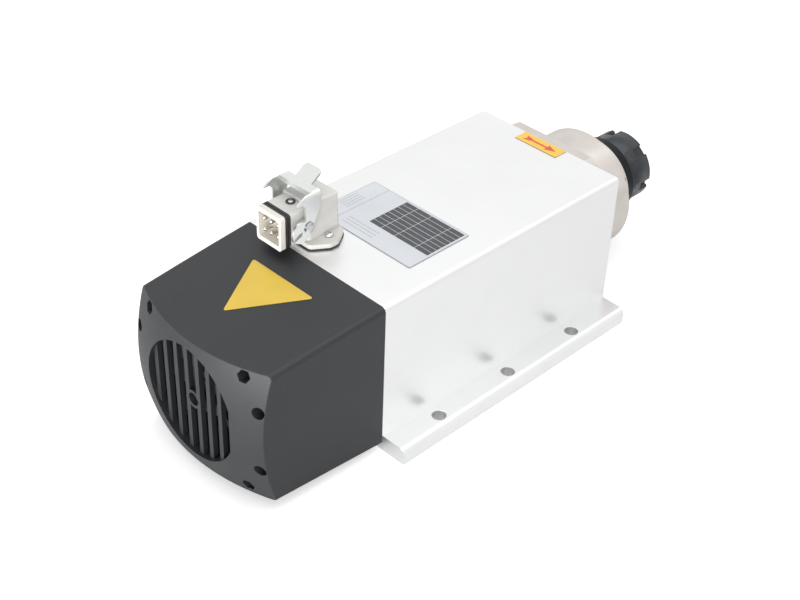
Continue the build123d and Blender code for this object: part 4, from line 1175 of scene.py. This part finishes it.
@dataclass
class FanEnd:
    """The rear end: end shield, fan, cover and their screws."""

    shield_seat: float = -108.0
    shield_screw: SocketScrew = SocketScrew(5.0, 18.0)
    cover_seat: float = -104.0
    cover_screw: SocketScrew = SocketScrew(4.0, 16.0)
    cover_reach: Pair = (52.8, 20.8)

    def build(self, wardrobe: Wardrobe) -> None:
        """Dresses the fan end and makes its screws.

        Args:
            wardrobe: Where the finishes come from.
        """
        wardrobe.dress(Slot.COVER, "fan_cover")
        wardrobe.dress(Slot.FAN, "cooling_fan")
        # Painted shade: the zinc fan screw takes a dark finish for the shade behind the grille.
        wardrobe.cover(SHADED_SCREW_OXIDE, "fan_retaining_screw")
        wardrobe.dress(Slot.MACHINED, "rear_end_shield")
        wardrobe.dress(Slot.SPRING, "wave_spring")
        outermost, middle = Extent.of("shield_screws").high, AXIS_HEIGHT / MM
        head = self.shield_screw.head_radius
        spots = corners((outermost[0] - head, outermost[2] - middle - head))
        shape = repeated(self.shield_screw.build(), Facing.REAR.about_axis(self.shield_seat, spots))
        wardrobe.publish("shield_cap_screws", shape, Slot.ZINC, "shield_screws")
        spots = corners(self.cover_reach)
        shape = repeated(self.cover_screw.build(), Facing.REAR.about_axis(self.cover_seat, spots))
        wardrobe.publish("cover_cap_screws", shape, Slot.BLACK_SCREW, "cover_screws")


@dataclass
class Nose:
    """The front end: bearing housing, cap, slinger, shaft, collet and nut."""

    flange_seat: float = 114.0
    flange_reach: Pair = (38.0, 36.0)
    flange_screw: SocketScrew = SocketScrew(6.0, 20.0)
    cap_seat: float = 148.7
    cap_screw: SocketScrew = SocketScrew(4.0, 14.0)
    cap_circle: float = 73.5
    cap_screws: int = 6
    cap_start: float = 30.0
    nut_turn: float = 19.0

    def build(self, wardrobe: Wardrobe) -> None:
        """Dresses the nose and makes its screws.

        Args:
            wardrobe: Where the finishes come from.
        """
        wardrobe.dress(Slot.NICKEL, "front_bearing_housing", "front_bearing_cap")
        wardrobe.publish("castellated_nut", self.nut(), Slot.OXIDE, "collet_nut", "nut")
        # Painted shade: the slinger ring takes the near-black oxide that stands for the crevice behind
        # the nut.
        wardrobe.cover(CREVICE_SHADE_OXIDE, "slinger_ring")
        wardrobe.dress(Slot.GROUND, "spindle_shaft", "collet")
        spots = corners(self.flange_reach)
        shape = repeated(self.flange_screw.build(), Facing.FRONT.about_axis(self.flange_seat, spots))
        wardrobe.publish("front_flange_cap_screws", shape, Slot.ZINC, "front_housing_screws")
        spots = ring(self.cap_circle / 2, self.cap_screws, self.cap_start)
        shape = repeated(self.cap_screw.build(), Facing.FRONT.about_axis(self.cap_seat, spots))
        wardrobe.publish("bearing_cap_screws", shape, Slot.BLACK_SCREW, "cap_screws")

    def nut(self) -> BMesh:
        """The collet nut, turned on its thread to where it was tightened."""
        shape = copied("collet_nut")
        turn = Matrix.Rotation(math.radians(-self.nut_turn), 3, "Y")
        bmesh.ops.rotate(shape, cent=(0.0, 0.0, AXIS_HEIGHT), matrix=turn, verts=shape.verts)
        return shape


@dataclass(frozen=True)
class BallRow:
    """One row of balls in its riveted cage."""

    station: float
    pitch_radius: float
    ball_radius: float
    balls: int
    cage_wall: float = 0.5
    cage_width: float = 7.0

    def places(self) -> list[Matrix]:
        """Where the balls sit."""
        return Facing.FRONT.about_axis(self.station, ring(self.pitch_radius, self.balls))

    def ball(self) -> BMesh:
        """One ball."""
        shape = bmesh.new()
        bmesh.ops.create_icosphere(shape, subdivisions=4, radius=self.ball_radius * MM)
        return shape

    def cage(self) -> BMesh:
        """The pressed ring between the balls, standing on its middle."""
        half, r = self.cage_width / 2, self.pitch_radius
        inner, outer = r - self.cage_wall, r + self.cage_wall
        profile = [(-half, inner), (-half, outer), (half, outer), (half, inner), (-half, inner)]
        return lathe(profile, 96)


@dataclass
class Bearings:
    """The ball bearings at both ends with their spacers and lock nuts."""

    front: tuple[BallRow, ...] = (BallRow(115.7, 23.0, 4.75, 12), BallRow(135.7, 23.0, 4.75, 12))
    rear: tuple[BallRow, ...] = (BallRow(-100.0, 14.25, 3.4, 10, 0.4, 5.4),)

    def build(self, wardrobe: Wardrobe) -> None:
        """Dresses the rings and makes the balls and cages.

        Args:
            wardrobe: Where the finishes come from.
        """
        wardrobe.dress(Slot.BEARING, "front_bearing_outer_rings", "front_bearing_inner_rings")
        wardrobe.dress(Slot.BEARING, "rear_bearing_outer_ring", "rear_bearing_inner_ring")
        wardrobe.dress(Slot.GROUND, "outer_spacer", "inner_spacer")
        wardrobe.dress(Slot.BLACK_SCREW, "front_lock_nut", "rear_lock_nut")
        self.row("front", self.front, "front_bearing_ball_rows", wardrobe)
        self.row("rear", self.rear, "rear_bearing_ball_row", wardrobe)

    @staticmethod
    def row(end: str, rows: Sequence[BallRow], node: str, wardrobe: Wardrobe) -> None:
        """Makes the balls and cages of one end, whose rows are alike.

        Args:
            end: Which end, for the names.
            rows: Its rows.
            node: The CAD node they stand for.
            wardrobe: Where the finish comes from.
        """
        balls = repeated(rows[0].ball(), [place for row in rows for place in row.places()])
        wardrobe.publish(f"{end}_balls", balls, Slot.BEARING, node, "ball_rows", crease=180.0)
        spots = [Facing.FRONT.at(0.0, row.station, AXIS_HEIGHT / MM) for row in rows]
        cages = repeated(rows[0].cage(), spots)
        wardrobe.publish(f"{end}_cages", cages, Slot.BEARING, node, "ball_rows")


@dataclass
class Connector:
    """The angled power connector with its lever."""

    flange_height: float = 4.0
    flange_screw: PanScrew = PanScrew(3.0, 9.0, 2.65, 2.3, 0.9)
    set_screw: PanScrew = PanScrew(3.0, 2.6, 1.65, 1.1, 0.6)
    pin_radius: float = 1.4
    peg_radius: float = 2.5
    peg_length: float = 2.2
    peg_head_height: float = 0.8
    peg_dome: tuple[Pair, ...] = ((0.25, 1.0), (0.65, 0.86), (0.9, 0.6), (1.0, 0.3))

    def build(self, wardrobe: Wardrobe) -> None:
        """Dresses the connector and makes its small pieces.

        Args:
            wardrobe: Where the finishes come from.
        """
        wardrobe.dress(Slot.CASTING, "connector_housing")
        wardrobe.dress(Slot.RUBBER, "connector_gasket", "connector_seal")
        wardrobe.dress(Slot.INSERT, "connector_insert")
        wardrobe.dress(Slot.LEVER, "locking_lever")
        heads = Extent.of("connector_flange_screws")
        half = (heads.size[0] - heads.size[1]) / 2
        x, y, _ = heads.middle
        top = BODY_TOP / MM + self.flange_height
        seats = [Facing.UP.at(x + side * half, y, top) for side in (-1, 1)]
        screws = repeated(self.flange_screw.build(), seats)
        wardrobe.publish("connector_pan_screws", screws, Slot.ZINC, "connector_flange_screws")
        box = Extent.of("insert_screw_o_ring")
        seats = [Facing.UP.at(box.middle[0], box.middle[1], box.low[2])]
        screw = repeated(self.set_screw.build(), seats)
        wardrobe.publish("insert_cross_screw", screw, Slot.ZINC, "insert_screw")
        o_ring = repeated(self.o_ring(box), seats)
        wardrobe.publish("insert_screw_ring", o_ring, Slot.RUBBER, "insert_screw_o_ring")
        wardrobe.publish("contact_pins", self.pins(), Slot.PIN, "connector_pins")
        wardrobe.publish("lever_pivot_pegs", self.pegs(), Slot.ZINC, "lever_pins")

    def o_ring(self, box: Extent) -> BMesh:
        """The rubber ring round the set screw.

        Args:
            box: The space that it fills.

        Returns:
            The ring, standing on height 0.
        """
        rise, outer = box.size[2] / 2, box.size[0] / 2
        thick = (outer - self.set_screw.head_radius) / 2
        section = arc((0.0, 0.0), 1.0, 0.0, 360.0, 16)
        return lathe([(rise * (1.0 + up), outer - thick + thick * out) for up, out in section], 48)

    def pins(self) -> BMesh:
        """Six round-nosed contact pins."""
        row = Extent.of("connector_pins")
        nose = arc((row.size[1] - self.pin_radius, 0.0), self.pin_radius, 0.0, 90.0, 8)
        pin = lathe([(0.0, 0.0), (0.0, self.pin_radius), *nose], 32)
        across, up = (row.size[axis] / 2 - self.pin_radius for axis in (0, 2))
        x, _, z = row.middle
        places = [
            Facing.REAR.at(x + column * across, row.high[1], z + level * up)
            for column in (-1, 0, 1)
            for level in (-1, 1)
        ]
        return repeated(pin, places)

    def pegs(self) -> BMesh:
        """The two pivot pegs, each with a domed rivet head."""
        pair = Extent.of("lever_pins")
        h, reach = self.peg_head_height, self.peg_length
        head = pair.size[1] / 2
        profile = [
            (0.0, 0.0),
            (0.0, self.peg_radius),
            (reach, self.peg_radius),
            (reach, head),
            *[(reach + h * up, head * out) for up, out in self.peg_dome],
            (reach + h, 0.0),
        ]
        x, y, z = pair.middle
        inner = pair.size[0] / 2 - h - reach
        places = []
        for side in (-1, 1):
            spot = Vector((x + side * inner, y, z)) * MM
            places.append(Matrix.Translation(spot) @ Matrix.Rotation(side * math.pi / 2, 4, "Y"))
        return repeated(lathe(profile, 48), places)


# ---------------------------------------------------------------- studio
@dataclass(frozen=True)
class SoftBox:
    """One square of soft light."""

    name: str
    spot: Point
    target: Point
    width: float
    height: float
    power: float

    def build(self) -> None:
        """Hangs the lamp and aims it."""
        light = bpy.data.lights.new(self.name, "AREA")
        light.shape = "RECTANGLE"
        light.size, light.size_y = self.width, self.height
        light.energy = self.power
        lamp = add(self.name, light)
        lamp.location = self.spot
        aim = Vector(self.target) - Vector(self.spot)
        lamp.rotation_euler = aim.to_track_quat("-Z", "Y").to_euler()


@dataclass
class Studio:
    """A pale floor, soft light and the camera."""

    position: Point = (506.61, -546.98, 577.82)
    azimuth: float = 44.293
    elevation: float = 36.431
    roll: float = 0.037
    lens: float = 64.07
    sensor: float = 36.0
    clip: Pair = (0.01, 50.0)
    fill: float = 0.62
    floor_colour: float = 0.86
    floor_glow: float = 0.48
    mirrored_glow: float = 0.08
    floor_size: float = 36.0
    floor_gap: float = 0.0002
    boxes: tuple[SoftBox, ...] = (
        SoftBox("overhead_box", (0.1, 0.1, 1.3), (0.0, 0.0, 0.05), 1.4, 1.6, 9.0),
        SoftBox("rear_box", (0.2, -1.0, 0.06), (0.02, -0.19, 0.0), 1.1, 0.1, 11.0),
    )

    def build(self) -> None:
        """Sets the camera, world, floor and lamps."""
        self.camera()
        self.world()
        self.floor()
        for box in self.boxes:
            box.build()
        bpy.context.scene.view_settings.view_transform = "Standard"

    def camera(self) -> None:
        """Sets the camera at the viewing angle."""
        data = bpy.data.cameras.new("camera")
        data.lens = self.lens
        data.sensor_width = self.sensor
        data.clip_start, data.clip_end = self.clip
        az, el = math.radians(self.azimuth), math.radians(self.elevation)
        back = Vector((math.sin(az) * math.cos(el), -math.cos(az) * math.cos(el), math.sin(el)))
        right = Vector((math.cos(az), math.sin(az), 0.0))
        up = back.cross(right)
        tilt_right = math.cos(self.roll) * right + math.sin(self.roll) * up
        tilt_up = math.cos(self.roll) * up - math.sin(self.roll) * right
        turn = Matrix((tilt_right, tilt_up, back)).transposed().to_4x4()
        camera = add("camera", data)
        camera.matrix_world = Matrix.Translation(Vector(self.position) * MM) @ turn
        bpy.context.scene.camera = camera

    @staticmethod
    def rays(graph: Graph) -> tuple[Wire, Wire]:
        """Tells apart what is looked at from what lights things.

        Args:
            graph: The tree that asks.

        Returns:
            1 for rays from the eye or through glass, and 1 for rays off a mirror.
        """
        straight = graph.node("ShaderNodeLightPath", output="Is Camera Ray")
        through = graph.beside(straight, "Is Transmission Ray")
        return straight.most(through), graph.beside(straight, "Is Glossy Ray")

    def world(self) -> None:
        """White to look at, and a plain fill for the light that falls on things."""
        world = bpy.data.worlds.new("studio")
        bpy.context.scene.world = world
        graph = Graph(world)
        fill, white = (
            graph.node("ShaderNodeBackground", None, {"Color": WHITE, "Strength": strength})
            for strength in (self.fill, 1.0)
        )
        straight, mirrored = self.rays(graph)
        both = graph.node("ShaderNodeMixShader", None, {0: straight.most(mirrored), 1: fill, 2: white})
        graph.node_output("ShaderNodeOutputWorld", both)

    def floor(self) -> None:
        """A pale floor that keeps the soft shadow."""
        shape = bmesh.new()
        bmesh.ops.create_grid(shape, x_segments=1, y_segments=1, size=self.floor_size / 2)
        bmesh.ops.translate(shape, vec=(0.0, 0.0, -self.floor_gap), verts=shape.verts)
        mesh = meshed("floor", shape)
        material = bpy.data.materials.new("pale_floor")
        graph = Graph(material)
        tone = self.floor_colour
        paper = graph.node("ShaderNodeBsdfDiffuse", None, {"Color": (tone, tone, tone, 1.0)})
        straight, mirrored = self.rays(graph)
        strength = straight * self.floor_glow + mirrored * self.mirrored_glow
        glow = graph.node("ShaderNodeEmission", None, {"Color": WHITE, "Strength": strength})
        both = graph.node("ShaderNodeAddShader", None, {0: paper, 1: glow})
        graph.node_output("ShaderNodeOutputMaterial", both)
        mesh.materials.append(material)
        add("floor", mesh)


def main() -> None:
    """Builds the studio and every sub-assembly."""
    logging.basicConfig(level=logging.INFO, format="%(name)s: %(message)s")
    Studio().build()
    wardrobe = Wardrobe()
    groups: tuple[SubAssembly, ...] = (MotorBody(), FanEnd(), Nose(), Bearings(), Connector())
    for group in groups:
        LOG.info("building %s", type(group).__name__)
        group.build(wardrobe)


if __name__ == "__main__":
    main()
